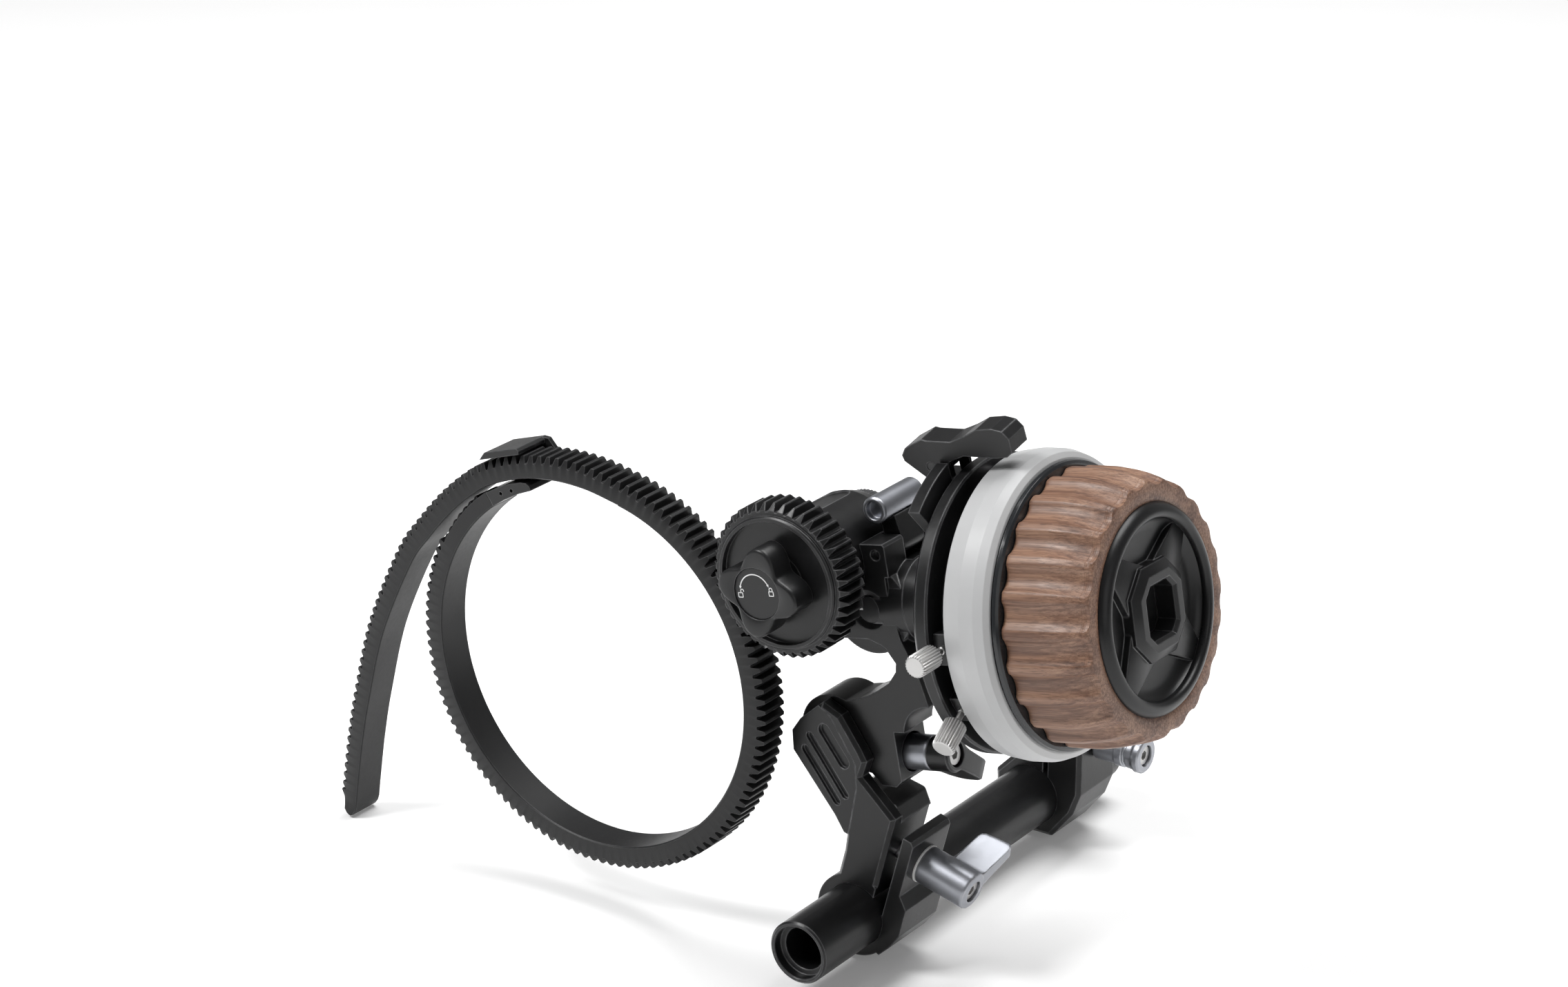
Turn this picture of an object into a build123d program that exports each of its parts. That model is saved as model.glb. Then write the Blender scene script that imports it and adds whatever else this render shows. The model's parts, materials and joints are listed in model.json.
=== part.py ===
from build123d import *
from math import cos, hypot, pi, radians, sin, tan
import os

os.makedirs("parts", exist_ok=True)

# ---------------------------------------------------------------- driving dimensions (mm, degrees)

ROD_R = 7.5
ROD_FIT_R = 7.55
ROD_THREAD_R = 5.1
ROD_MOUTH_R = 6.3
ROD_START, ROD_END = -10.6, 119.4

REAR_CLAMP_Y = (88.0, 104.0)
CAGE_SCREW_Y = (92.0, 100.0)
FRONT_CLAMP_Y = (12.0, 27.5)
ARM_PLATE_BACK = 15.6
ARM_LEAN = 14.5
HEAD_TILT = 11.24

GEAR_TEETH, GEAR_MODULE = 43, 0.8
BELT_TEETH = 121
BELT_Y = (2.5, 11.5)
BELT_INNER_R = 43.6
MESH_ANGLE = 213.25

TRAIN_TEETH, TRAIN_MODULE = 32, 0.5
TRAIN_DISTANCE = TRAIN_TEETH * TRAIN_MODULE
CROSS = TRAIN_DISTANCE * cos(radians(45))
BEVEL_TEETH, BEVEL_OUTER, BEVEL_INNER = 16, 4.6, 2.9

RECESS_FLOOR, KNOB_BACK = 0.6, -1.4
BARREL_R = 12.0
BARREL_Y = (9.4, 33.0)
CRADLE_R = 14.2

HEAD_FRONT, FOOT_BACK, BOX_BACK = 16.0, 27.5, 35.5
PIVOT = (-3.4, -41.0)
PIVOT_R = 3.5
PIVOT_SCREW_Y, PIVOT_SCREW_Z = 22.3, -46.8

WHEEL_Y, WHEEL_Z = 25.2, -CROSS
SPINDLE_R = 4.0
FLANGE_R, FLANGE_X = 33.0, (39.3, 43.2)
TRACK_R, TRACK_BACK = 27.0, 47.2
STOP_X = 45.3
STOP_ANGLES = {"a": 180.0, "b": 209.0}
PEG_R, PEG_ANGLE = 29.0, 85.0
POINTER_ANGLE = 100.0
FLUTES = 24
CAP_TURN = -2.0

LOCK_PIN = (15.5, 1.5)
LOCK_TUBE = (13.8, 10.3)

# ---------------------------------------------------------------- frames
# Every frame keeps Y along the rod, counted from the front face of the drive gear.

START_Y = -96.0
BASE = Plane((4.8, START_Y, -24.7), x_dir=(1, 0, 0), z_dir=(0, 0, 1))
lean, tilt = radians(ARM_LEAN), radians(HEAD_TILT)
ARM = Plane((4.8, START_Y, -24.7), x_dir=(cos(lean), 0, -sin(lean)), z_dir=(sin(lean), 0, cos(lean)))
HEAD = Plane((-8, START_Y, 58), x_dir=(cos(tilt), 0, sin(tilt)), z_dir=(-sin(tilt), 0, cos(tilt)))
mesh = radians(MESH_ANGLE)
LENS_DISTANCE = GEAR_MODULE * (GEAR_TEETH + BELT_TEETH) / 2
LENS = Plane(
    (-8 + LENS_DISTANCE * cos(mesh), START_Y, 58 + LENS_DISTANCE * sin(mesh)),
    x_dir=(1, 0, 0),
    z_dir=(0, 0, 1),
)
PIVOT_IN_ARM = ARM.to_local_coords(HEAD.from_local_coords((PIVOT[0], 0, PIVOT[1])))


def facing_front(frame, y, x=0.0, z=0.0):
    """Drawing plane across the rod direction: right is the frame's x, up its z, normal to -Y."""
    return Plane(frame.from_local_coords((x, y, z)), x_dir=frame.x_dir, z_dir=-frame.y_dir)


def facing_side(frame, x, y=0.0, z=0.0):
    """Drawing plane across the frame's x: right is Y, up its z, normal to +x."""
    return Plane(frame.from_local_coords((x, y, z)), x_dir=frame.y_dir, z_dir=frame.x_dir)


def along_radius(x, angle, radius):
    """Plane looking out from the wheel axis at a station x, a turn angle and a radius."""
    out = HEAD.y_dir * cos(radians(angle)) + HEAD.z_dir * sin(radians(angle))
    centre = HEAD.from_local_coords((x, WHEEL_Y, WHEEL_Z))
    return Plane(centre + out * radius, x_dir=HEAD.x_dir, z_dir=out)


# ---------------------------------------------------------------- shapes


def outline(plane, points, corner=0.0):
    with BuildSketch(plane) as drawn:
        with BuildLine():
            Polyline(*points, close=True)
        make_face()
        if corner:
            fillet(drawn.vertices(), corner)
    return drawn.sketch


def slab(frame, points, y0, y1, corner=0.0, mode=Mode.ADD):
    """Plate between two stations along Y."""
    extrude(outline(facing_front(frame, y1), points, corner), amount=y1 - y0, mode=mode)


def post(plane, radius, length, mode=Mode.ADD):
    """Round bar or hole from a plane along its normal."""
    with BuildSketch(plane) as drawn:
        Circle(radius)
    extrude(drawn.sketch, amount=length, mode=mode)


def along_y(frame, x, z, radius, y0, y1, mode=Mode.ADD):
    """Round bar or hole along Y between two stations."""
    post(facing_front(frame, y1, x, z), radius, y1 - y0, mode)


def bar(plane, width, height, length, mode=Mode.ADD):
    with BuildSketch(plane) as drawn:
        Rectangle(width, height)
    extrude(drawn.sketch, amount=length, mode=mode)


def lathe(plane, points, mode=Mode.ADD):
    """Turned piece: points are (station along the plane's x, radius)."""
    revolve(outline(plane, points), axis=Axis(plane.origin, plane.x_dir), mode=mode)


def sector(plane, outer, inner, first, last, length, mode=Mode.ADD):
    """Arc-shaped block between two radii and two angles."""
    reach = 2 * outer
    with BuildSketch(plane) as drawn:
        Circle(outer)
        Circle(inner, mode=Mode.SUBTRACT)
        with BuildLine():
            Polyline(
                (0, 0),
                (reach * cos(radians(first)), reach * sin(radians(first))),
                (reach * cos(radians(last)), reach * sin(radians(last))),
                close=True,
            )
        make_face(mode=Mode.INTERSECT)
    extrude(drawn.sketch, amount=length, mode=mode)


def gear_points(teeth, module, slack, turn):
    """Closed outline of a spur gear with straight flanks; the first tooth points to the turn angle."""
    pitch_r = teeth * module / 2
    half = pi * module / 4 - slack / 2
    shape = [
        (pitch_r - 1.25 * module, half + 1.25 * module * tan(radians(20))),
        (pitch_r + module, half - module * tan(radians(20))),
    ]
    points = []
    for n in range(teeth):
        centre = 2 * pi * n / teeth + radians(turn)
        corners = [(r, -w / r) for r, w in shape] + [(r, w / r) for r, w in reversed(shape)]
        points += [(r * cos(centre + a), r * sin(centre + a)) for r, a in corners]
    return points


def bevel(near_plane, far_plane, turn):
    """Straight bevel gear between two scaled spur outlines that share one apex."""
    near = outline(near_plane, gear_points(BEVEL_TEETH, 2 * BEVEL_INNER / BEVEL_TEETH, 0.12, turn))
    far = outline(far_plane, gear_points(BEVEL_TEETH, 2 * BEVEL_OUTER / BEVEL_TEETH, 0.19, turn))
    loft([near.face(), far.face()], ruled=True)


# ================================================================ rear clamp, fixed to the camera cage

with BuildPart() as rear_clamp_body:
    rear_outline = [
        (-4.8, 36.7),
        (13.7, 36.7),
        (13.7, 3.0),
        (11.6, -2.6),
        (5.9, -9.9),
        (-5.0, -9.9),
        (-9.6, -5.0),
        (-10.0, 4.0),
        (-4.8, 9.5),
    ]
    slab(BASE, rear_outline, *REAR_CLAMP_Y, corner=1.2)
    front_edges = rear_clamp_body.faces().sort_by(Axis.Y)[0].edges()
    chamfer(front_edges, 1.0)
    along_y(BASE, 0, 0, ROD_FIT_R, *REAR_CLAMP_Y, mode=Mode.SUBTRACT)
    slab(BASE, [(3.4, 5), (4.8, 5), (4.8, 19), (3.4, 19)], 87, 105, mode=Mode.SUBTRACT)
    slab(BASE, [(3.4, 17.8), (15, 17.8), (15, 19), (3.4, 19)], 87, 105, mode=Mode.SUBTRACT)
    post(facing_side(BASE, -2.2, 96, 14.4), 2.2, 20, mode=Mode.SUBTRACT)
    for hole_y in CAGE_SCREW_Y:
        post(facing_side(BASE, -6, hole_y, 24.7), 1.7, 21, mode=Mode.SUBTRACT)
        post(facing_side(BASE, 9.5, hole_y, 24.7), 3.0, 6, mode=Mode.SUBTRACT)

with BuildPart() as rod_tube:
    rod_outline = [
        (ROD_START, ROD_MOUTH_R + 0.2),
        (ROD_START, ROD_R - 0.5),
        (ROD_START + 0.5, ROD_R),
        (ROD_END - 0.8, ROD_R),
        (ROD_END, ROD_R - 0.8),
        (ROD_END, ROD_THREAD_R + 0.6),
        (ROD_END - 0.6, ROD_THREAD_R),
        (ROD_START + 2.8, ROD_THREAD_R),
        (ROD_START + 2.5, ROD_MOUTH_R),
        (ROD_START + 0.2, ROD_MOUTH_R),
    ]
    lathe(facing_side(BASE, 0), rod_outline)

# ================================================================ ratchet levers
# Each lever frame has x along the clamp screw, outwards, and z along the wing.


def lever_frame(frame, start, wing):
    """Frame at the foot of a lever hub: x along the screw, z along the wing."""
    out = frame.y_dir * wing[0] + frame.z_dir * wing[1]
    return Plane(frame.from_local_coords(start), x_dir=frame.x_dir, z_dir=out)


FRONT_LEVER = lever_frame(ARM, (10.3, 19.75, 16.8), (0.966, 0.257))
REAR_LEVER = lever_frame(BASE, (14.2, 96, 14.4), (-0.3, 0.954))
PIVOT_LEVER = lever_frame(HEAD, (9.9, PIVOT_SCREW_Y, PIVOT_SCREW_Z), (0.8, -0.6))
FRONT_HUB, REAR_HUB, PIVOT_HUB = 13.2, 13.0, 14.6


def lever_bore(frame, length):
    """Stepped bore of a lever hub: toothed sleeve seat, shoulder, screw and spring recess."""
    lathe(
        facing_front(frame, 0),
        [
            (-1, 0),
            (-1, 2.15),
            (6, 2.15),
            (6, 1.3),
            (7, 1.3),
            (7, 2.6),
            (length + 1, 2.6),
            (length + 1, 0),
        ],
        mode=Mode.SUBTRACT,
    )


def lever_stud(frame, shank_r, reach):
    """Clamp screw with the sleeve that fills the lever hub."""
    lathe(
        facing_front(frame, 0),
        [
            (-reach, 0),
            (-reach, shank_r - 0.4),
            (0.4 - reach, shank_r),
            (0, shank_r),
            (0, 2.1),
            (5.9, 2.1),
            (5.9, 0),
        ],
    )


def lever_screw(frame, hub_length):
    """Socket screw that holds the hub on its stud, its head just inside the hub's end."""
    head = hub_length - 2.5
    lathe(
        facing_front(frame, 0),
        [(5.9, 0), (5.9, 1.2), (head, 1.2), (head, 2.4), (head + 1.8, 2.4), (head + 1.8, 0)],
    )
    with BuildSketch(facing_side(frame, head + 0.7)) as key:
        RegularPolygon(1.2, 6)
    extrude(key.sketch, amount=2, mode=Mode.SUBTRACT)


def lever_spring(frame, hub_length):
    """Return spring against the screw head, drawn at the length it has when the lever is pulled."""
    head = hub_length - 2.5
    lathe(facing_front(frame, 0), [(head - 1.1, 1.35), (head - 1.1, 2.5), (head, 2.5), (head, 1.35)])


with BuildPart() as front_lever:
    lathe(
        facing_front(FRONT_LEVER, 0),
        [(0, 0), (0, 4.2), (0.4, 4.5), (FRONT_HUB - 0.7, 4.5), (FRONT_HUB, 3.8), (FRONT_HUB, 0)],
    )
    front_wing = [(4.6, 0), (4.6, 14.4), (5.8, 15.7), (11.6, 16.5), (12.7, 15.4), (12.7, 4.0), (13.2, 3.0)]
    slab(FRONT_LEVER, front_wing, -1.6, 1.6)
    lever_bore(FRONT_LEVER, FRONT_HUB)
with BuildPart() as front_lever_stud:
    lever_stud(FRONT_LEVER, 2.0, 14.3)
with BuildPart() as front_lever_screw:
    lever_screw(FRONT_LEVER, FRONT_HUB)
with BuildPart() as front_lever_spring:
    lever_spring(FRONT_LEVER, FRONT_HUB)

with BuildPart() as rear_lever:
    rear_profile = [
        (0, 0),
        (0, 3.4),
        (0.4, 3.7),
        (5.8, 3.7),
        (6.1, 4.0),
        (8.1, 4.0),
        (8.3, 3.4),
        (8.9, 3.4),
        (9.1, 3.9),
        (10.6, 4.0),
        (11.3, 4.4),
        (REAR_HUB - 0.4, 4.4),
        (REAR_HUB, 4.0),
        (REAR_HUB, 0),
    ]
    lathe(facing_front(REAR_LEVER, 0), rear_profile)
    slab(
        REAR_LEVER,
        [(0.8, 0), (0.8, 6.5), (2.6, 12.2), (4.2, 13.6), (6.2, 13.6), (7.0, 12.4), (7.0, 0)],
        -1.8,
        1.8,
    )
    lever_bore(REAR_LEVER, REAR_HUB)
with BuildPart() as rear_lever_stud:
    lever_stud(REAR_LEVER, 2.0, 16.0)
with BuildPart() as rear_lever_screw:
    lever_screw(REAR_LEVER, REAR_HUB)
with BuildPart() as rear_lever_spring:
    lever_spring(REAR_LEVER, REAR_HUB)

with BuildPart() as pivot_lever:
    lathe(
        facing_front(PIVOT_LEVER, 0),
        [(0, 0), (0, 3.8), (0.4, 4.1), (PIVOT_HUB - 0.5, 4.1), (PIVOT_HUB, 3.6), (PIVOT_HUB, 0)],
    )
    pivot_wing = [
        (5.0, 0),
        (5.0, 6.5),
        (6.5, 11.5),
        (9.0, 14.0),
        (12.5, 14.0),
        (14.2, 12.5),
        (PIVOT_HUB, 9.0),
        (PIVOT_HUB, 0),
    ]
    slab(PIVOT_LEVER, pivot_wing, -2.5, 2.5)
    lever_bore(PIVOT_LEVER, PIVOT_HUB)
with BuildPart() as pivot_lever_stud:
    lever_stud(PIVOT_LEVER, 1.5, 18.5)
with BuildPart() as pivot_lever_screw:
    lever_screw(PIVOT_LEVER, PIVOT_HUB)
with BuildPart() as pivot_lever_spring:
    lever_spring(PIVOT_LEVER, PIVOT_HUB)

# ================================================================ arm: front rod clamp and pivot plate

ARM_FACE = [
    (-6.8, 2.0),
    (-6.8, 14.0),
    (-7.3, 18.1),
    (-11.2, 21.6),
    (-25.5, 31.5),
    (-27.0, 36.0),
    (-25.7, 39.9),
    (-21.6, 46.3),
    (-16.3, 45.6),
    (-9.2, 39.9),
    (-7.2, 37.9),
    (-7.4, 33.8),
    (3.5, 28.2),
    (3.5, 5.0),
]
ARM_THICK = [
    (-6.8, 2.0),
    (-6.8, 17.0),
    (-8.4, 20.2),
    (-12.6, 24.2),
    (-9.4, 28.2),
    (-4.4, 29.4),
    (1.3, 29.7),
    (3.8, 26.5),
    (4.0, 23.7),
    (3.5, 19.2),
    (3.5, 5.0),
]
JAW = [
    (6.8, 3.0),
    (6.8, 25.4),
    (9.0, 25.4),
    (9.8, 24.4),
    (9.8, 11.0),
    (12.3, 8.2),
    (12.3, 1.0),
    (10.6, -3.2),
    (8.6, -6.4),
    (4.0, -5.0),
]
PANEL = [
    (-7.86, 18.6),
    (-11.2, 21.6),
    (-25.5, 31.5),
    (-27.0, 36.0),
    (-25.7, 39.9),
    (-22.2, 45.4),
    (-18.4, 44.2),
    (-9.4, 36.2),
    (-7.6, 30.6),
    (-6.8, 20.4),
    (-6.9, 18.6),
]
PANEL_SEAT = [(-10.0, 18.6), (-27.5, 29.5), (-29.5, 36.0), (-28.5, 46.6), (-26.0, 46.6)] + PANEL[6:]
PANEL_Y = (12.0, 13.8)


def panel_slot(start, end, width):
    """Long round-ended recess in the panel face."""
    middle = ((start[0] + end[0]) / 2, (start[1] + end[1]) / 2)
    reach = hypot(end[0] - start[0], end[1] - start[1])
    place = facing_front(ARM, PANEL_Y[0] + 0.9, middle[0], middle[1])
    run = ARM.x_dir * (end[0] - start[0]) + ARM.z_dir * (end[1] - start[1])
    with BuildSketch(Plane(place.origin, x_dir=run, z_dir=place.z_dir)) as drawn:
        SlotCenterToCenter(reach, width)
    extrude(drawn.sketch, amount=2, mode=Mode.SUBTRACT)


with BuildPart() as arm_body:
    slab(ARM, ARM_FACE, FRONT_CLAMP_Y[0], ARM_PLATE_BACK)
    chamfer(arm_body.faces().sort_by(Axis.Y)[0].edges(), 0.9)
    slab(ARM, ARM_THICK, ARM_PLATE_BACK, FRONT_CLAMP_Y[1], corner=1.2)
    slab(ARM, JAW, *FRONT_CLAMP_Y)
    along_y(ARM, 0, 0, 10.0, *FRONT_CLAMP_Y)
    along_y(ARM, 0, 0, ROD_FIT_R, 11, 28, mode=Mode.SUBTRACT)
    slab(ARM, [(3.5, 4.6), (6.8, 3.6), (6.8, 30), (3.5, 26)], 15.7, 28, mode=Mode.SUBTRACT)
    slab(ARM, [(3.5, 4.6), (6.8, 3.6), (6.8, 27), (3.5, 27)], 11, 15.7, mode=Mode.SUBTRACT)
    slab(ARM, PANEL_SEAT, PANEL_Y[0] - 1, PANEL_Y[1], mode=Mode.SUBTRACT)
    post(facing_side(ARM, -4.6, 19.75, 16.8), 2.2, 16, mode=Mode.SUBTRACT)
    along_y(ARM, PIVOT_IN_ARM.X, PIVOT_IN_ARM.Z, 5.2, PANEL_Y[1], 14.8, mode=Mode.SUBTRACT)
    along_y(ARM, PIVOT_IN_ARM.X, PIVOT_IN_ARM.Z, PIVOT_R, 14, 16, mode=Mode.SUBTRACT)

with BuildPart() as arm_panel:
    slab(ARM, PANEL, *PANEL_Y)
    panel_slot((-22.6, 33.2), (-11.6, 25.0), 1.9)
    panel_slot((-22.3, 36.9), (-10.0, 27.6), 1.9)
    panel_slot((-19.2, 40.2), (-12.4, 35.2), 3.0)

with BuildPart() as nylon_washer:
    lathe(facing_front(ARM, 19.75, 0, 16.8), [(9.82, 2.1), (9.82, 4.65), (10.26, 4.65), (10.26, 2.1)])

with BuildPart() as pivot_pin:
    along_y(HEAD, PIVOT[0], PIVOT[1], 5.15, PANEL_Y[1], 14.8)
    along_y(HEAD, PIVOT[0], PIVOT[1], PIVOT_R, 14.8, 29.4)

with BuildPart() as pivot_clip:
    along_y(HEAD, PIVOT[0], PIVOT[1], 6.0, 27.8, 28.8)
    along_y(HEAD, PIVOT[0], PIVOT[1], PIVOT_R, 27, 29, mode=Mode.SUBTRACT)

# ================================================================ head casting

WEB = [
    (17.2, -3.4),
    (17.1, -7.6),
    (18.6, -17.9),
    (19.8, -20.8),
    (21.9, -26.5),
    (23.4, -33.6),
    (23.4, -40.0),
    (12.8, -40.0),
    (12.8, -51.8),
    (11.2, -53.2),
    (7.2, -53.0),
    (5.0, -50.2),
    (-3.4, -49.0),
    (-9.0, -43.0),
    (-6.0, -34.6),
    (-0.8, -33.3),
    (3.9, -32.8),
    (7.7, -31.5),
    (10.4, -30.2),
    (13.6, -28.4),
    (16.0, -25.6),
    (16.4, -23.6),
    (14.4, -20.4),
    (12.2, -18.6),
    (10.0, -18.2),
    (-1.0, -18.2),
    (-6.5, -12.0),
    (2.0, -4.0),
]
BOX = [(-2.0, -18.2), (10.0, -18.2), (14.4, -20.0), (18.6, -17.9), (17.1, -7.6), (17.2, -3.4), (10.0, -2.0)]

with BuildPart() as head_frame:
    slab(HEAD, WEB, HEAD_FRONT, FOOT_BACK)
    along_y(HEAD, *PIVOT, 9.0, HEAD_FRONT, FOOT_BACK)
    slab(HEAD, BOX, HEAD_FRONT, BOX_BACK)
    along_y(HEAD, CROSS, -CROSS, 10.4, HEAD_FRONT + 0.8, BOX_BACK)
    post(facing_side(HEAD, CROSS, WHEEL_Y, WHEEL_Z), 9.8, 21.0 - CROSS)
    slab(HEAD, [(11.7, -3.6), (18.2, -3.6), (18.2, 3.4), (17.6, 4.0), (11.7, 4.0)], HEAD_FRONT, BARREL_Y[1])
    sector(facing_front(HEAD, BARREL_Y[1]), CRADLE_R, BARREL_R - 1, 160, 265, BARREL_Y[1] - HEAD_FRONT)
    sector(facing_front(HEAD, BARREL_Y[1]), CRADLE_R, BARREL_R - 1, 260, 375, BARREL_Y[1] - HEAD_FRONT)
    along_y(HEAD, 0, 0, BARREL_R + 0.05, 14, 38, mode=Mode.SUBTRACT)
    along_y(HEAD, 23.0, -41.1, 7.5, 15, 29, mode=Mode.SUBTRACT)
    along_y(HEAD, CROSS, -CROSS, 9.0, 17.1, BOX_BACK - 2.3, mode=Mode.SUBTRACT)
    along_y(HEAD, CROSS, -CROSS, 9.7, BOX_BACK - 2.3, BOX_BACK + 1, mode=Mode.SUBTRACT)
    along_y(HEAD, CROSS, -CROSS, 3.15, 15, 18, mode=Mode.SUBTRACT)
    lathe(
        facing_side(HEAD, CROSS, 0, -CROSS),
        [(15.9, 0), (15.9, 4.7), (16.0, 4.6), (16.7, 3.2), (16.7, 0)],
        mode=Mode.SUBTRACT,
    )
    post(facing_side(HEAD, CROSS, WHEEL_Y, WHEEL_Z), 6.2, 12, mode=Mode.SUBTRACT)
    post(facing_side(HEAD, 21.0, WHEEL_Y, WHEEL_Z), 10.2, 4, mode=Mode.SUBTRACT)
    along_y(HEAD, *PIVOT, PIVOT_R + 0.03, 15, 29, mode=Mode.SUBTRACT)
    slab(HEAD, [(-4.0, -43.5), (-2.8, -43.5), (-2.8, -52), (-4.0, -52)], 15, 29, mode=Mode.SUBTRACT)
    post(facing_side(HEAD, -9.4, PIVOT_SCREW_Y, PIVOT_SCREW_Z), 1.6, 20, mode=Mode.SUBTRACT)
    post(facing_side(HEAD, 9.6, PIVOT_SCREW_Y, PIVOT_SCREW_Z), 4.6, 20, mode=Mode.SUBTRACT)
    slab(HEAD, [(12.3, -2.4), (20, -2.4), (20, 6), (12.3, 6)], 23.6, 32.4, mode=Mode.SUBTRACT)
    along_y(HEAD, *LOCK_PIN, 1.2, 15, 34, mode=Mode.SUBTRACT)

with BuildPart() as gearbox_cover:
    along_y(HEAD, CROSS, -CROSS, 9.65, BOX_BACK - 2.3, BOX_BACK)
    along_y(HEAD, CROSS, -CROSS, 4.0, BOX_BACK - 4.5, BOX_BACK)
    along_y(HEAD, 0, 0, BARREL_R + 0.5, 30, 38, mode=Mode.SUBTRACT)
    along_y(HEAD, CROSS, -CROSS, 2.9, 30, 38, mode=Mode.SUBTRACT)

with BuildPart() as cross_bush:
    along_y(HEAD, CROSS, -CROSS, 2.9, BOX_BACK - 4.5, BOX_BACK - 0.1)
    along_y(HEAD, CROSS, -CROSS, 2.03, 30, 36, mode=Mode.SUBTRACT)

with BuildPart() as lock_pin:
    along_y(HEAD, *LOCK_PIN, 1.2, 17.6, 32.8)

with BuildPart() as spindle_housing:
    lathe(
        facing_front(HEAD, WHEEL_Y, 0, WHEEL_Z),
        [
            (21.0, 7.0),
            (21.0, 9.8),
            (38.2, 9.8),
            (38.2, 11.0),
            (39.3, 11.0),
            (39.3, 7.0),
            (35.3, 7.0),
            (35.3, 5.4),
            (25.0, 5.4),
            (25.0, 7.0),
        ],
    )

with BuildPart() as spindle_bearings:
    for bearing_x in (21.2, 35.3):
        lathe(
            facing_front(HEAD, WHEEL_Y, bearing_x, WHEEL_Z),
            [(0, SPINDLE_R + 0.03), (0, 7.0), (3.8, 7.0), (3.8, SPINDLE_R + 0.03)],
        )

with BuildPart() as flange:
    lathe(
        facing_front(HEAD, WHEEL_Y, 0, WHEEL_Z),
        [
            (39.3, 5.2),
            (39.3, FLANGE_R - 1.0),
            (40.3, FLANGE_R),
            (42.8, FLANGE_R),
            (43.2, FLANGE_R - 0.4),
            (43.2, 5.2),
        ],
    )
    for angle in range(45, 360, 90):
        centre = along_radius(42.0, angle, 13.0).origin
        post(Plane(centre, x_dir=HEAD.y_dir, z_dir=HEAD.x_dir), 2.3, 2, mode=Mode.SUBTRACT)

with BuildPart() as flange_screws:
    for angle in range(45, 360, 90):
        centre = along_radius(42.0, angle, 13.0).origin
        post(Plane(centre, x_dir=HEAD.y_dir, z_dir=HEAD.x_dir), 2.2, 1.1)

with BuildPart() as stop_track:
    lathe(
        facing_front(HEAD, WHEEL_Y, 0, WHEEL_Z),
        [
            (43.2, 17.0),
            (43.2, TRACK_R),
            (TRACK_BACK - 0.4, TRACK_R),
            (TRACK_BACK, TRACK_R - 0.4),
            (TRACK_BACK, 17.0),
        ],
    )

with BuildPart() as drag_washer:
    lathe(
        facing_front(HEAD, WHEEL_Y, 0, WHEEL_Z),
        [(43.2, SPINDLE_R + 0.4), (43.2, 9.0), (47.9, 9.0), (47.9, SPINDLE_R + 0.4)],
    )

POINTER = Plane(
    HEAD.from_local_coords((0, WHEEL_Y, WHEEL_Z)),
    x_dir=HEAD.x_dir,
    z_dir=HEAD.y_dir * cos(radians(POINTER_ANGLE)) + HEAD.z_dir * sin(radians(POINTER_ANGLE)),
)
POINTER_PIN = (34.2, 34.6)
POINTER_LUG = 1.5

with BuildPart() as pointer_bracket:
    sector(facing_side(HEAD, 36.4, WHEEL_Y, WHEEL_Z), 36.2, 26.0, 92, 130, 2.9)
    slab(POINTER, [(31.2, 26.5), (39.3, 26.5), (39.3, 30.2), (31.2, 30.2)], -6.2, 6.2)
    slab(POINTER, [(31.0, 30.2), (40.0, 30.2), (40.0, 40.0), (31.0, 40.0)], -3.9, 3.9, mode=Mode.SUBTRACT)
    slab(
        POINTER,
        [(31.9, 29.0), (36.5, 29.0), (36.5, 34.6), (35.6, 36.4), (32.8, 36.4), (31.9, 34.6)],
        -POINTER_LUG,
        POINTER_LUG,
    )
    along_y(POINTER, *POINTER_PIN, 1.1, -7, 7, mode=Mode.SUBTRACT)

with BuildPart() as pointer_pin:
    along_y(POINTER, *POINTER_PIN, 1.1, -3.1, 3.1)

with BuildPart() as pointer_lever:
    pointer_outline = [
        (27.3, 37.3),
        (28.5, 39.0),
        (33.3, 41.2),
        (34.5, 40.9),
        (40.6, 40.7),
        (44.4, 42.0),
        (48.0, 43.7),
        (52.0, 44.0),
        (54.6, 43.4),
        (56.0, 41.6),
        (56.0, 38.4),
        (54.4, 37.3),
        (51.6, 37.0),
        (43.4, 37.4),
        (39.2, 35.9),
        (36.9, 32.8),
        (34.2, 31.2),
        (32.4, 31.9),
        (29.5, 34.3),
        (27.6, 35.9),
    ]
    slab(POINTER, pointer_outline, -3.2, 3.2)
    for tooth in range(6):
        cut_x = 28.4 + 0.85 * tooth
        cut_z = 39.1 + 0.4 * tooth
        slab(POINTER, [(cut_x, cut_z), (cut_x + 0.5, cut_z + 0.9), (cut_x - 0.3, cut_z + 0.6)], -4, 4,
             mode=Mode.SUBTRACT)
    lug_room = [(30.5, 28.0), (38.4, 28.0), (38.4, 37.5), (30.5, 37.5)]
    slab(POINTER, lug_room, -POINTER_LUG - 0.15, POINTER_LUG + 0.15, mode=Mode.SUBTRACT)
    along_y(POINTER, *POINTER_PIN, 1.13, -4, 4, mode=Mode.SUBTRACT)

# ================================================================ barrel, its lock and the drive gear

with BuildPart() as lock_neck:
    along_y(HEAD, *LOCK_PIN, 2.5, 24, 32)
    slab(HEAD, [(12.6, 8.2), (16.6, 8.2), (18.0, 1.6), (13.2, 0.8)], 24, 32)
    along_y(HEAD, *LOCK_TUBE, 3.1, 20, 37, mode=Mode.SUBTRACT)
    along_y(HEAD, *LOCK_PIN, 1.23, 20, 37, mode=Mode.SUBTRACT)

with BuildPart() as lock_tube:
    tube_profile = [
        (20.5, 2.1),
        (20.5, 2.7),
        (20.9, 3.1),
        (35.8, 3.1),
        (36.3, 2.6),
        (36.3, 0),
        (22.0, 0),
        (22.0, 2.1),
    ]
    lathe(facing_side(HEAD, LOCK_TUBE[0], 0, LOCK_TUBE[1]), tube_profile)

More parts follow.
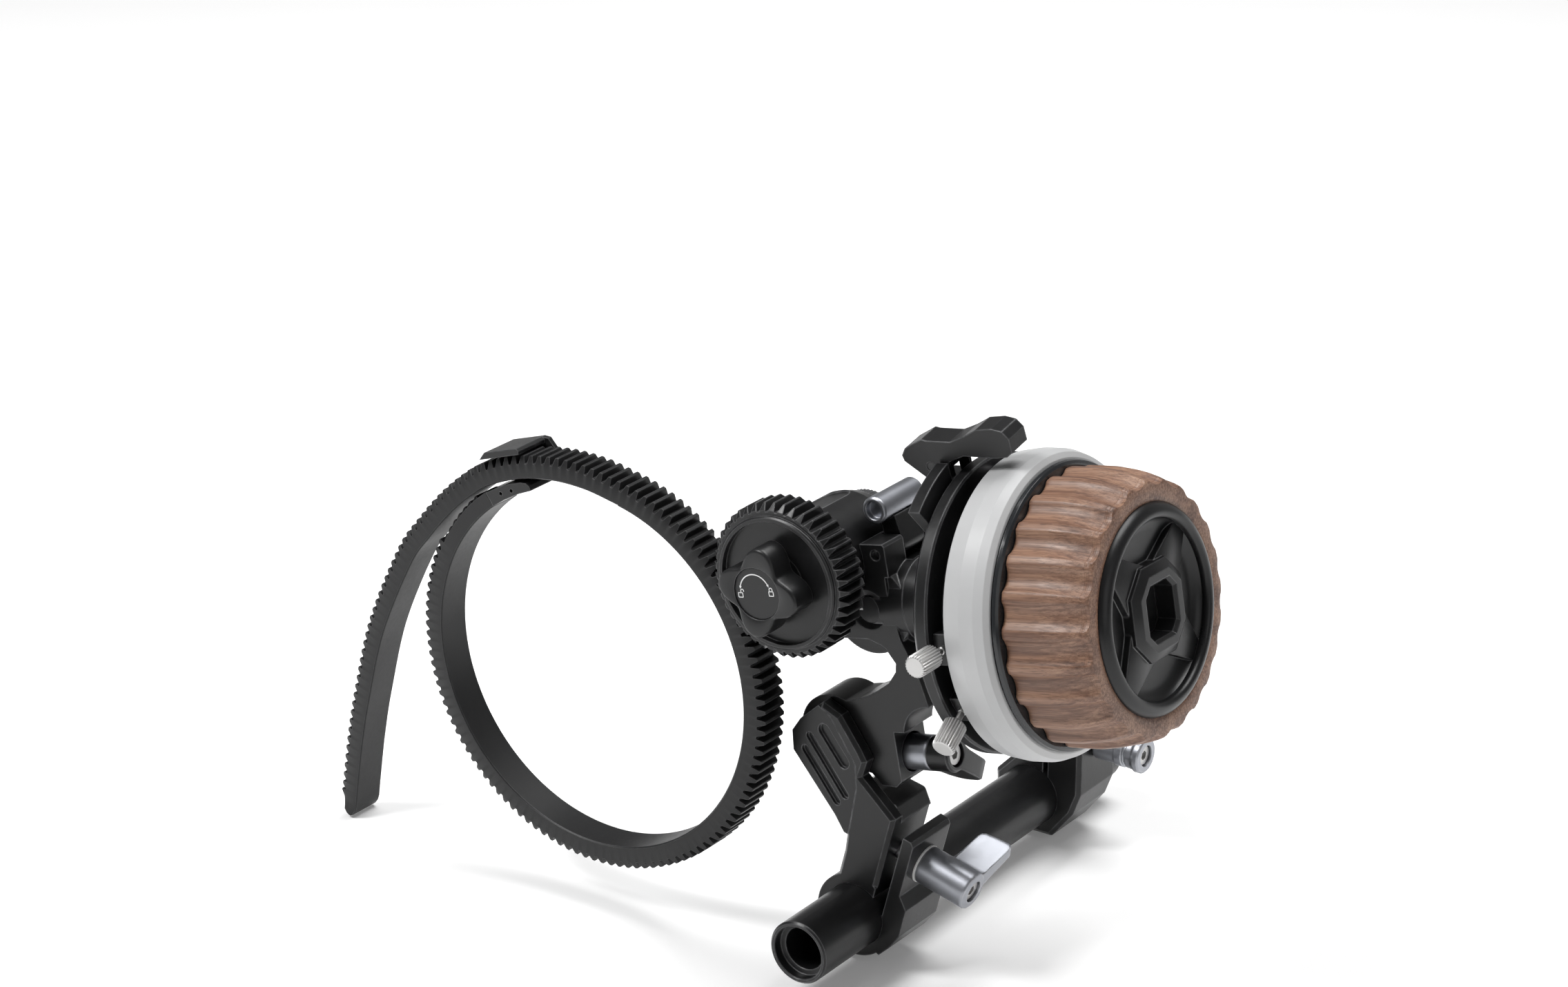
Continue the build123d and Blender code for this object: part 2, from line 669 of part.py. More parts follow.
with BuildPart() as barrel_tube:
    barrel_profile = [
        (BARREL_Y[0], 6.5),
        (BARREL_Y[0], BARREL_R - 0.5),
        (BARREL_Y[0] + 0.5, BARREL_R),
        (29.5, BARREL_R),
        (BARREL_Y[1], 10.9),
        (BARREL_Y[1], 9.5),
        (13.4, 9.5),
        (13.4, 6.5),
    ]
    lathe(facing_side(HEAD, 0), barrel_profile)
    window = Plane(HEAD.from_local_coords((0, 22.25, 0)), x_dir=HEAD.y_dir, z_dir=HEAD.x_dir - HEAD.z_dir)
    bar(window, 17.1, 13.6, 14, mode=Mode.SUBTRACT)
    recess = Plane(
        HEAD.from_local_coords((11.3 * cos(radians(95)), 22.2, 11.3 * sin(radians(95)))),
        x_dir=HEAD.y_dir,
        z_dir=HEAD.x_dir * cos(radians(95)) + HEAD.z_dir * sin(radians(95)),
    )
    with BuildSketch(recess):
        SlotOverall(16.0, 7.0)
    extrude(amount=3, mode=Mode.SUBTRACT)

with BuildPart() as barrel_ring:
    lathe(
        facing_side(HEAD, 0),
        [
            (BARREL_Y[1], 0),
            (BARREL_Y[1], 9.6),
            (BARREL_Y[1] + 0.4, 9.9),
            (37.0, 9.9),
            (37.5, 9.4),
            (37.5, 0),
        ],
    )
    along_y(HEAD, 0, 0, 6.5, 32, 36.3, mode=Mode.SUBTRACT)

with BuildPart() as barrel_bearings:
    for bearing_y in (BARREL_Y[0] + 0.4, BARREL_Y[1] - 0.2):
        lathe(facing_side(HEAD, 0, bearing_y), [(0, 4.03), (0, 6.5), (3.4, 6.5), (3.4, 4.03)])

with BuildPart() as drive_shaft:
    lathe(
        facing_side(HEAD, 0),
        [(2.2, 2.6), (2.2, 4.0), (36.0, 4.0), (36.0, 0), (8.5, 0), (8.5, 2.6)],
    )

with BuildPart() as drive_pinion:
    pinion_teeth = gear_points(TRAIN_TEETH, TRAIN_MODULE, 0.22, 315 + 180 / TRAIN_TEETH)
    extrude(outline(facing_front(HEAD, 32.4), pinion_teeth), amount=32.4 - 14.0)
    along_y(HEAD, 0, 0, 4.0, 13, 34, mode=Mode.SUBTRACT)

with BuildPart() as drive_gear:
    extrude(
        outline(
            facing_front(HEAD, 9.0),
            gear_points(GEAR_TEETH, GEAR_MODULE, 0.25, MESH_ANGLE - HEAD_TILT),
        ),
        amount=9.0,
    )
    lathe(facing_side(HEAD, 0), [(-0.5, 16.0), (-0.5, 19.0), (2.5, 19.0)], mode=Mode.SUBTRACT)
    lathe(facing_side(HEAD, 0), [(9.5, 16.0), (9.5, 19.0), (6.5, 19.0)], mode=Mode.SUBTRACT)
    lathe(facing_side(HEAD, 0), [(-1.0, 0), (-1.0, 15.0), (-0.6, 15.4), (0, 15.4), (0, 0)])
    along_y(HEAD, 0, 0, 14.2, -2, RECESS_FLOOR, mode=Mode.SUBTRACT)
    along_y(HEAD, 0, 0, 6.4, -1.1, RECESS_FLOOR)
    along_y(HEAD, 0, 0, 4.0, -2, 10, mode=Mode.SUBTRACT)
    along_y(HEAD, 0, 0, 14.4, 6.5, 10, mode=Mode.SUBTRACT)
    along_y(HEAD, 0, 0, 6.0, 6.4, 9.0)
    along_y(HEAD, 0, 0, 4.0, 1, 10, mode=Mode.SUBTRACT)


def lobe_root(corner):
    """True where a lobe's flank meets the knob's round middle."""
    return (corner.center() - HEAD.from_local_coords((0, KNOB_BACK, 0))).length < 7.2


with BuildPart() as gear_knob:
    with BuildSketch(facing_front(HEAD, KNOB_BACK)) as star:
        Circle(6.9)
        for lobe in range(4):
            with Locations(Rotation(0, 0, 76 + 90 * lobe)):
                with Locations((8.2, 0)):
                    Circle(2.35)
                with BuildLine():
                    Polyline((3.0, -5.6), (8.9, -2.24), (8.9, 2.24), (3.0, 5.6), close=True)
                make_face()
        fillet([corner for corner in star.vertices() if lobe_root(corner)], 2.2)
    extrude(amount=KNOB_BACK + 8.0)
    along_y(HEAD, 0, 0, 6.0, -8.0, -6.8, mode=Mode.SUBTRACT)
    along_y(HEAD, 0, 0, 2.55, KNOB_BACK, 7.5)

with BuildPart() as knob_disc:
    along_y(HEAD, 0, 0, 5.9, -7.6, -6.8)

# ================================================================ cross shaft between barrel and wheel

with BuildPart() as cross_shaft:
    lathe(
        facing_side(HEAD, CROSS, 0, -CROSS),
        [(16.5, 0), (16.5, 3.1), (17.25, 3.1), (17.25, 2.0), (34.8, 2.0), (34.8, 0)],
    )

with BuildPart() as cross_spur:
    extrude(
        outline(facing_front(HEAD, 19.6, CROSS, -CROSS), gear_points(TRAIN_TEETH, TRAIN_MODULE, 0.22, 135)),
        amount=19.6 - 17.3,
    )
    along_y(HEAD, CROSS, -CROSS, 2.0, 17, 20, mode=Mode.SUBTRACT)

with BuildPart() as cross_bevel:
    bevel(
        facing_front(HEAD, WHEEL_Y - BEVEL_INNER, CROSS, -CROSS),
        facing_front(HEAD, WHEEL_Y - BEVEL_OUTER, CROSS, -CROSS),
        0,
    )
    along_y(HEAD, CROSS, -CROSS, 3.2, 19.6, WHEEL_Y - BEVEL_OUTER)
    along_y(HEAD, CROSS, -CROSS, 2.0, 19, 24, mode=Mode.SUBTRACT)

# ================================================================ hand wheel

with BuildPart() as wheel_spindle:
    lathe(
        facing_front(HEAD, WHEEL_Y, 0, WHEEL_Z),
        [(14.3, 0), (14.3, 1.6), (18.6, 1.6), (18.6, SPINDLE_R), (56.0, SPINDLE_R), (56.0, 0)],
    )

with BuildPart() as spindle_bevel:
    bevel(
        facing_side(HEAD, CROSS + BEVEL_INNER, WHEEL_Y, WHEEL_Z),
        facing_side(HEAD, CROSS + BEVEL_OUTER, WHEEL_Y, WHEEL_Z),
        180 + 180 / BEVEL_TEETH,
    )
    post(facing_side(HEAD, CROSS + BEVEL_OUTER, WHEEL_Y, WHEEL_Z), 3.2, 18.6 - CROSS - BEVEL_OUTER)
    post(facing_side(HEAD, 12, WHEEL_Y, WHEEL_Z), 1.6, 8, mode=Mode.SUBTRACT)

with BuildPart() as wheel_hub:
    lathe(
        facing_front(HEAD, WHEEL_Y, 0, WHEEL_Z),
        [
            (48.0, 0),
            (48.0, 9.0),
            (52.0, 9.0),
            (52.0, 27.5),
            (48.0, 27.5),
            (48.0, 30.95),
            (58.6, 30.95),
            (58.6, 24.9),
            (78.5, 24.9),
            (78.5, 21.6),
            (57.0, 21.6),
            (57.0, 7.5),
            (68.8, 7.5),
            (68.8, 0),
        ],
    )
    post(facing_side(HEAD, 47, WHEEL_Y, WHEEL_Z), SPINDLE_R, 9, mode=Mode.SUBTRACT)

with BuildPart() as stop_peg:
    peg_plane = along_radius(44.2, PEG_ANGLE, PEG_R)
    post(Plane(peg_plane.origin, x_dir=HEAD.y_dir, z_dir=HEAD.x_dir), 1.4, 48.0 - 44.2)

with BuildPart() as trim_ring:
    lathe(
        facing_front(HEAD, WHEEL_Y, 0, WHEEL_Z),
        [(58.6, 24.9), (58.6, 31.3), (58.9, 31.6), (59.6, 31.4), (60.0, 30.8), (60.0, 24.9)],
    )

with BuildPart() as grip_ring:
    lathe(
        facing_front(HEAD, WHEEL_Y, 0, WHEEL_Z),
        [
            (60.0, 24.9),
            (60.0, 30.1),
            (60.3, 30.4),
            (64.0, 30.4),
            (68.4, 30.3),
            (72.6, 29.6),
            (75.4, 28.9),
            (77.6, 28.2),
            (79.6, 27.0),
            (81.0, 25.9),
            (81.0, 25.0),
            (78.5, 24.9),
        ],
    )
    for flute in range(FLUTES):
        out = along_radius(58.0, flute * 360 / FLUTES, 33.6)
        post(Plane(out.origin, x_dir=HEAD.y_dir, z_dir=HEAD.x_dir), 4.4, 12, mode=Mode.SUBTRACT)
        knee = out.origin + HEAD.x_dir * 11.0
        post(Plane(knee, z_dir=HEAD.x_dir - out.z_dir * 0.24), 4.4, 14, mode=Mode.SUBTRACT)

with BuildPart() as cap_bead:
    lathe(
        facing_front(HEAD, WHEEL_Y, 0, WHEEL_Z),
        [
            (78.5, 21.2),
            (78.5, 24.6),
            (81.4, 24.6),
            (82.4, 24.2),
            (83.0, 23.3),
            (83.0, 22.4),
            (82.4, 21.5),
            (81.6, 21.2),
        ],
    )

with BuildPart() as wheel_cap:
    post(facing_side(HEAD, 75.6, WHEEL_Y, WHEEL_Z), 21.15, 2.2)
    for angle in range(45, 360, 90):
        out = HEAD.y_dir * cos(radians(angle)) + HEAD.z_dir * sin(radians(angle))
        spoke_plane = Plane(HEAD.from_local_coords((77.0, WHEEL_Y, WHEEL_Z)), x_dir=out, z_dir=HEAD.x_dir)
        extrude(outline(spoke_plane, [(7.0, 6.4), (20.9, 2.2), (20.9, -2.2), (7.0, -6.4)]), amount=2.5)
    for station, height, taper in ((69.0, 11.4, 0), (80.4, 1.2, 60)):
        with BuildSketch(facing_side(HEAD, station, WHEEL_Y, WHEEL_Z)) as boss:
            Rectangle(20.9, 20.9, rotation=CAP_TURN)
            chamfer(boss.vertices(), 5.4)
        extrude(amount=height, taper=taper)
    with BuildSketch(facing_side(HEAD, 69.6, WHEEL_Y, WHEEL_Z)) as socket:
        Rectangle(12.9, 12.9, rotation=CAP_TURN)
        chamfer(socket.vertices(), 2.4)
    extrude(amount=13, mode=Mode.SUBTRACT)

with BuildPart() as marking_ring:
    lathe(
        facing_front(HEAD, WHEEL_Y, 0, WHEEL_Z),
        [
            (48.2, 31.0),
            (47.7, 31.4),
            (47.7, 33.2),
            (48.0, 33.5),
            (52.0, 34.0),
            (55.5, 33.9),
            (57.6, 33.2),
            (58.4, 32.0),
            (58.4, 31.2),
            (58.2, 31.0),
        ],
    )

# ================================================================ adjustable stops


def stop_block(angle):
    """Block that rides round the stop track."""
    sector(facing_side(HEAD, 43.4, WHEEL_Y, WHEEL_Z), 31.0, TRACK_R + 0.05, angle - 6.5, angle + 6.5, 3.7)
    post(along_radius(STOP_X, angle, 28.0), 0.95, 5, mode=Mode.SUBTRACT)


def stop_screw(angle):
    """Knurled thumb screw that locks a stop block on the track."""
    post(along_radius(STOP_X, angle, 28.4), 0.9, 6.0)
    lathe_plane = along_radius(STOP_X, angle, 0)
    lathe(
        Plane(lathe_plane.origin, x_dir=lathe_plane.z_dir, z_dir=lathe_plane.y_dir),
        [(34.4, 0), (34.4, 2.3), (34.7, 2.6), (41.5, 2.6), (41.8, 2.3), (41.8, 0)],
    )


with BuildPart() as stop_block_a:
    stop_block(STOP_ANGLES["a"])
with BuildPart() as stop_block_b:
    stop_block(STOP_ANGLES["b"])
with BuildPart() as stop_screw_a:
    stop_screw(STOP_ANGLES["a"])
with BuildPart() as stop_screw_b:
    stop_screw(STOP_ANGLES["b"])

# ================================================================ lens belt

BELT_PITCH_R = BELT_TEETH * GEAR_MODULE / 2
BELT_TIP_R = BELT_PITCH_R + GEAR_MODULE
BELT_ROOT_R = BELT_PITCH_R - 1.25 * GEAR_MODULE
LIFT_START, LOOP_START = 78.0, 128.0
TOOTH_STEP = 360 / BELT_TEETH
TOOTH_HEIGHT = BELT_TIP_R - BELT_ROOT_R
STRAP_THICK = 5.4
BUCKLE_BACK = 12.9
FREE_TAIL = [
    (-36.6, 39.9),
    (-43.3, 33.9),
    (-50.6, 25.6),
    (-57.3, 16.4),
    (-67.0, -4.0),
    (-72.6, -23.5),
    (-75.6, -37.0),
    (-77.9, -51.0),
    (-78.9, -58.0),
]
TAIL_TONGUE = 6.5


def polar(radius, angle):
    return (radius * cos(radians(angle)), radius * sin(radians(angle)))


def degrees_of(width, radius):
    return width / radius * 180 / pi


def strap_point(path, share, depth):
    """Point at a share of the path, set in from the tooth tips by a depth."""
    spot = path.position_at(share)
    run = path.tangent_at(share)
    return (spot.X - run.Y * depth, spot.Y + run.X * depth)


INNER_END = [polar(45.0, 129), polar(44.6, 116), polar(45.4, 116), polar(46.4, 129)]


def belt_outline():
    """Strap drawn once round the lens, over its own inner end and out along the free tail."""
    half_root = degrees_of(pi * GEAR_MODULE / 4 - 0.12 + 1.25 * GEAR_MODULE * tan(radians(20)), BELT_ROOT_R)
    half_tip = degrees_of(pi * GEAR_MODULE / 4 - 0.12 - GEAR_MODULE * tan(radians(20)), BELT_TIP_R)
    first = MESH_ANGLE - 180 + TOOTH_STEP / 2
    steps = range(int((LOOP_START - first) / TOOTH_STEP) + 2, int((LIFT_START + 360 - first) / TOOTH_STEP))
    outside = []
    for n in steps:
        centre = first + n * TOOTH_STEP
        tip = BELT_TIP_R if centre > LOOP_START + 24 else BELT_TIP_R - 1.0
        outside += [
            polar(BELT_ROOT_R, centre - half_root),
            polar(tip, centre - half_tip),
            polar(tip, centre + half_tip),
            polar(BELT_ROOT_R, centre + half_root),
        ]
    lift = [polar(r, angle) for r, angle in ((49.3, 80), (50.0, 90), (51.0, 102), (52.3, 114), (53.6, 125))]
    tail = Spline(*lift, *FREE_TAIL, tangents=[polar(1, 171.5), (-0.13, -1)])
    inside = []
    toothed = 1 - TAIL_TONGUE / tail.length
    count = int(toothed * tail.length / (pi * GEAR_MODULE))
    for n in range(count):
        for along, depth in ((0.12, TOOTH_HEIGHT), (0.36, 0.0), (0.64, 0.0), (0.88, TOOTH_HEIGHT)):
            outside.append(strap_point(tail, toothed * (n + along) / count, depth))
        inside.append(strap_point(tail, toothed * (n + 0.5) / count, STRAP_THICK))
    tongue = [(6.0, 0.4), (4.6, 1.4), (1.2, 1.8), (0.0, 3.2), (1.6, STRAP_THICK - 0.3), (3.0, STRAP_THICK)]
    for back, depth in tongue:
        outside.append(strap_point(tail, 1 - back / tail.length, depth))
    round_lens = [polar(BELT_INNER_R - 0.2, angle) for angle in range(int(LIFT_START + 358), 129, -3)]
    end = [polar(BELT_INNER_R - 0.2, LOOP_START), polar(BELT_ROOT_R, LOOP_START)]
    return outside + inside[::-1] + round_lens + end


with BuildPart() as belt_strap:
    slab(LENS, belt_outline(), *BELT_Y)
    along_y(LENS, 0, 0, BELT_INNER_R, BELT_Y[0] - 1, BELT_Y[1] + 1, mode=Mode.SUBTRACT)
    slab(LENS, INNER_END, 3.7, 10.3)

BUCKLE_BLOCK = [
    polar(43.7, 111.0),
    polar(43.7, 116.5),
    polar(43.7, 122.5),
    polar(43.7, 127.9),
    polar(47.3, 127.9),
    polar(46.8, 120),
    polar(46.1, 114),
    polar(45.6, 112.2),
    polar(44.8, 111.2),
]
BUCKLE_WALL = [
    polar(43.7, 109.5),
    polar(43.7, 116.5),
    polar(43.7, 122.5),
    polar(43.7, 127.9),
    (-30.2, 45.3),
    (-28.7, 47.4),
    (-19.4, 50.4),
    (-17.6, 50.4),
    (-15.0, 47.6),
]
BUCKLE_LID = [(-30.2, 45.3), (-28.7, 47.4), (-19.4, 50.4), (-18.7, 49.9), (-18.6, 49.1)]

with BuildPart() as belt_buckle:
    slab(LENS, BUCKLE_LID, 2.0, BUCKLE_BACK)
    slab(LENS, BUCKLE_BLOCK, BELT_Y[0], BUCKLE_BACK)
    slab(LENS, BUCKLE_WALL, BELT_Y[1] + 0.2, BUCKLE_BACK)
    slab(LENS, INNER_END, 3.7, 10.3, mode=Mode.SUBTRACT)
    for pin_angle, pin_r in ((118.5, 44.9), (122.8, 45.3)):
        hole = polar(pin_r, pin_angle)
        along_y(LENS, hole[0], hole[1], 0.45, BELT_Y[0] - 1, BELT_Y[0] + 1.0, mode=Mode.SUBTRACT)

# ---------------------------------------------------------------- export

NODES = {
    "rear_clamp_body": rear_clamp_body,
    "rod_tube": rod_tube,
    "front_lever": front_lever,
    "front_lever_stud": front_lever_stud,
    "front_lever_screw": front_lever_screw,
    "front_lever_spring": front_lever_spring,
    "rear_lever": rear_lever,
    "rear_lever_stud": rear_lever_stud,
    "rear_lever_screw": rear_lever_screw,
    "rear_lever_spring": rear_lever_spring,
    "pivot_lever": pivot_lever,
    "pivot_lever_stud": pivot_lever_stud,
    "pivot_lever_screw": pivot_lever_screw,
    "pivot_lever_spring": pivot_lever_spring,
    "arm_body": arm_body,
    "arm_panel": arm_panel,
    "nylon_washer": nylon_washer,
    "pivot_pin": pivot_pin,
    "pivot_clip": pivot_clip,
    "head_frame": head_frame,
    "gearbox_cover": gearbox_cover,
    "cross_bush": cross_bush,
    "lock_pin": lock_pin,
    "spindle_housing": spindle_housing,
    "spindle_bearings": spindle_bearings,
    "flange": flange,
    "flange_screws": flange_screws,
    "stop_track": stop_track,
    "drag_washer": drag_washer,
    "pointer_bracket": pointer_bracket,
    "pointer_pin": pointer_pin,
    "pointer_lever": pointer_lever,
    "lock_neck": lock_neck,
    "lock_tube": lock_tube,
    "barrel_tube": barrel_tube,
    "barrel_ring": barrel_ring,
    "barrel_bearings": barrel_bearings,
    "drive_shaft": drive_shaft,
    "drive_pinion": drive_pinion,
    "drive_gear": drive_gear,
    "gear_knob": gear_knob,
    "knob_disc": knob_disc,
    "cross_shaft": cross_shaft,
    "cross_spur": cross_spur,
    "cross_bevel": cross_bevel,
    "wheel_spindle": wheel_spindle,
    "spindle_bevel": spindle_bevel,
    "wheel_hub": wheel_hub,
    "stop_peg": stop_peg,
    "trim_ring": trim_ring,
    "grip_ring": grip_ring,
    "cap_bead": cap_bead,
    "wheel_cap": wheel_cap,
    "marking_ring": marking_ring,
    "stop_block_a": stop_block_a,
    "stop_block_b": stop_block_b,
    "stop_screw_a": stop_screw_a,
    "stop_screw_b": stop_screw_b,
    "belt_strap": belt_strap,
    "belt_buckle": belt_buckle,
}

for node_name, node in NODES.items():
    node.part.label = node_name
    export_step(node.part, f"parts/{node_name}.step")
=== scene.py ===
import math

import bpy
import numpy as np
from mathutils import Matrix, Vector
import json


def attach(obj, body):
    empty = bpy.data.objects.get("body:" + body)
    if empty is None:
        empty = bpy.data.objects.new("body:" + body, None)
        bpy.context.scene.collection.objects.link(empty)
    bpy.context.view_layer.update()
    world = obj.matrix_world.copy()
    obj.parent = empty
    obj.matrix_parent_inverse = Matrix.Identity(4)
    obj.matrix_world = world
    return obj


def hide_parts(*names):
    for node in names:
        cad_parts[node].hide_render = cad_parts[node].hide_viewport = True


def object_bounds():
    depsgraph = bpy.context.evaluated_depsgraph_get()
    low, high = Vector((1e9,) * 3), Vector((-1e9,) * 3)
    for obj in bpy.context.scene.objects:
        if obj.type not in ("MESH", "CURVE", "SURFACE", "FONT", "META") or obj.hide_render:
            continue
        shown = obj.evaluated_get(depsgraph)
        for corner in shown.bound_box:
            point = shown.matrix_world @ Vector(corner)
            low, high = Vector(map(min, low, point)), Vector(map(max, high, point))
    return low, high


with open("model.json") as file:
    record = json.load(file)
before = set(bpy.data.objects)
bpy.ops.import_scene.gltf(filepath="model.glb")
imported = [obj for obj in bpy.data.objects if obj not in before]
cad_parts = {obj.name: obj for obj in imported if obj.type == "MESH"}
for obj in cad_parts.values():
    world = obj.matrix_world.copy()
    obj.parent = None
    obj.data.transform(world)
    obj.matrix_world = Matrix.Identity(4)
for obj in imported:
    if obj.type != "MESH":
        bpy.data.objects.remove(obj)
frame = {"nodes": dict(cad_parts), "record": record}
cad_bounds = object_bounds()
MM = 0.001

# ---------------------------------------------------------------- places, in millimetres and degrees

GEAR_CENTRE, ROD_AXIS = (-8, -96, 58), (4.8, -96, -24.7)
HEAD_TILT, ARM_LEAN = 11.24, 14.5
# the wheel's axis runs this far under the drive gear's axis, and this far behind its front face
CROSS, WHEEL_Y = 11.3137, 25.2
GEAR_TEETH, BELT_TEETH, MODULE = 43, 121, 0.8
MESH_ANGLE = 213.25
FLUTES = 24
# turns of the two stop screws about the wheel's axis, and their station along it
STOP_ANGLES, STOP_STATION = (180.0, 209.0), 45.3


def axes(origin, x_dir, z_dir):
    """Local frame: origin, then the x, y and z directions as rows, with y = z cross x."""
    x, z = np.array(x_dir, float), np.array(z_dir, float)
    x, z = x / np.linalg.norm(x), z / np.linalg.norm(z)
    return np.array(origin, float), np.array([x, np.cross(z, x), z])


def turned(origin, degrees):
    """Frame whose x leans up from the part's X by an angle in the XZ plane, with y along Y."""
    a = math.radians(degrees)
    return axes(origin, (math.cos(a), 0, math.sin(a)), (-math.sin(a), 0, math.cos(a)))


HEAD = turned(GEAR_CENTRE, HEAD_TILT)
ARM = turned(ROD_AXIS, -ARM_LEAN)
BASE = turned(ROD_AXIS, 0)
lens_reach = MODULE * (GEAR_TEETH + BELT_TEETH) / 2
mesh_turn = math.radians(MESH_ANGLE)
lens_x = GEAR_CENTRE[0] + lens_reach * math.cos(mesh_turn)
lens_z = GEAR_CENTRE[2] + lens_reach * math.sin(mesh_turn)
LENS = turned((lens_x, GEAR_CENTRE[1], lens_z), 0)


def put(place, x, y, z):
    """Part-frame points, in metres, of local coordinates x, y, z in millimetres, any shape of arrays."""
    origin, rows = place
    x, y, z = np.broadcast_arrays(x, y, z)
    return (origin + x[..., None] * rows[0] + y[..., None] * rows[1] + z[..., None] * rows[2]) * MM


def about_wheel(station, radius, turn):
    """Part-frame points round the hand wheel's axis: a station along it, a radius, and a turn in radians from
    the frame's y."""
    return put(HEAD, station, WHEEL_Y + radius * np.cos(turn), -CROSS + radius * np.sin(turn))


def about_gear(station, radius, turn):
    """Part-frame points round the drive gear's axis: a station along it, a radius, and a turn in radians from
    the frame's x."""
    return put(HEAD, radius * np.cos(turn), station, radius * np.sin(turn))


# ---------------------------------------------------------------- surfaces


def skin(name, points, round_u=False, round_v=False, flip=False, caps=()):
    """Mesh on a grid of points (rows, columns, 3): each cell is a face, rows or columns close on themselves
    when round, and a cap closes the first or last row with one face."""
    rows, columns = points.shape[:2]
    index = np.arange(rows * columns).reshape(rows, columns)
    if round_u:
        index = np.vstack([index, index[:1]])
    if round_v:
        index = np.hstack([index, index[:, :1]])
    quads = np.stack([index[:-1, :-1], index[1:, :-1], index[1:, 1:], index[:-1, 1:]], -1).reshape(-1, 4)
    if flip:
        quads = quads[:, ::-1]
    faces = quads.tolist()
    for cap in caps:
        ring = index[cap][:columns].tolist()
        faces.append(ring if (cap == 0) != flip else ring[::-1])
    mesh = bpy.data.meshes.new(name)
    mesh.from_pydata(points.reshape(-1, 3).tolist(), [], faces)
    mesh.update()
    piece = bpy.data.objects.new(name, mesh)
    bpy.context.scene.collection.objects.link(piece)
    return piece


def smooth(piece, angle=35):
    """Rounded shading, kept crisp where two faces meet at more than the angle."""
    piece.data.shade_smooth()
    piece.data.set_sharp_from_angle(angle=math.radians(angle))
    return piece


def dressed(piece, body, slot, material, *nodes):
    """A finished piece: its body, its material and the plain solids that it stands for; its slot is not used.
    """
    piece.data.materials.append(material)
    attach(piece, body)
    if nodes:
        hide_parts(*nodes)
    return piece


def joined(name, pieces):
    """One object from several: their meshes, one after another."""
    verts, faces, start = [], [], 0
    for piece in pieces:
        flat = np.empty(len(piece.data.vertices) * 3)
        piece.data.vertices.foreach_get("co", flat)
        verts.append(flat.reshape(-1, 3))
        faces += [[start + v for v in face.vertices] for face in piece.data.polygons]
        start += len(piece.data.vertices)
        bpy.data.objects.remove(piece)
    mesh = bpy.data.meshes.new(name)
    mesh.from_pydata(np.vstack(verts).tolist(), [], faces)
    mesh.update()
    piece = bpy.data.objects.new(name, mesh)
    bpy.context.scene.collection.objects.link(piece)
    return piece


def soft_min(a, b, width):
    """The smaller of two values, with the corner between them rounded over a width."""
    return -width * np.logaddexp(-a / width, -b / width)


def ease(t):
    """Smooth step from 0 to 1."""
    t = np.clip(t, 0, 1)
    return t * t * (3 - 2 * t)


# ---------------------------------------------------------------- finishes


def link(tree, source, target):
    """Joins an output socket to an input socket."""
    tree.links.new(source, target)


def effect(name, numbers, outputs):
    """Empty node group with number inputs and colour, number or vector outputs."""
    group = bpy.data.node_groups.new(name, "ShaderNodeTree")
    for label, value in numbers.items():
        socket = group.interface.new_socket(label, in_out="INPUT", socket_type="NodeSocketFloat")
        socket.default_value = value
    for label, kind in outputs.items():
        group.interface.new_socket(label, in_out="OUTPUT", socket_type=kind)
    return group, group.nodes.new("NodeGroupInput"), group.nodes.new("NodeGroupOutput")


def node(tree, kind, inputs=None, **settings):
    """A node with its settings and its unlinked or linked inputs, by name or place."""
    made = tree.nodes.new(kind)
    for key, value in settings.items():
        setattr(made, key, value)
    for key, value in (inputs or {}).items():
        if isinstance(value, bpy.types.NodeSocket):
            link(tree, value, made.inputs[key])
        else:
            made.inputs[key].default_value = value
    return made


def grain_effect():
    """Fine blasted or moulded texture: a soft tone, and a height for the bump."""
    group, given, out = effect(
        "fine_grain", {"Scale": 900.0}, {"Tone": "NodeSocketFloat", "Height": "NodeSocketFloat"}
    )
    where = node(group, "ShaderNodeTexCoord").outputs["Object"]
    size = given.outputs["Scale"]
    fine = node(group, "ShaderNodeTexNoise", {"Vector": where, "Scale": size, "Detail": 3.0})
    broad = node(group, "ShaderNodeTexNoise", {"Vector": where, "Scale": 60.0, "Detail": 3.0})
    tone = node(
        group, "ShaderNodeMix", {0: 0.35, 2: broad.outputs["Fac"], 3: fine.outputs["Fac"]}, data_type="FLOAT"
    )
    link(group, tone.outputs[0], out.inputs["Tone"])
    link(group, fine.outputs["Fac"], out.inputs["Height"])
    return group


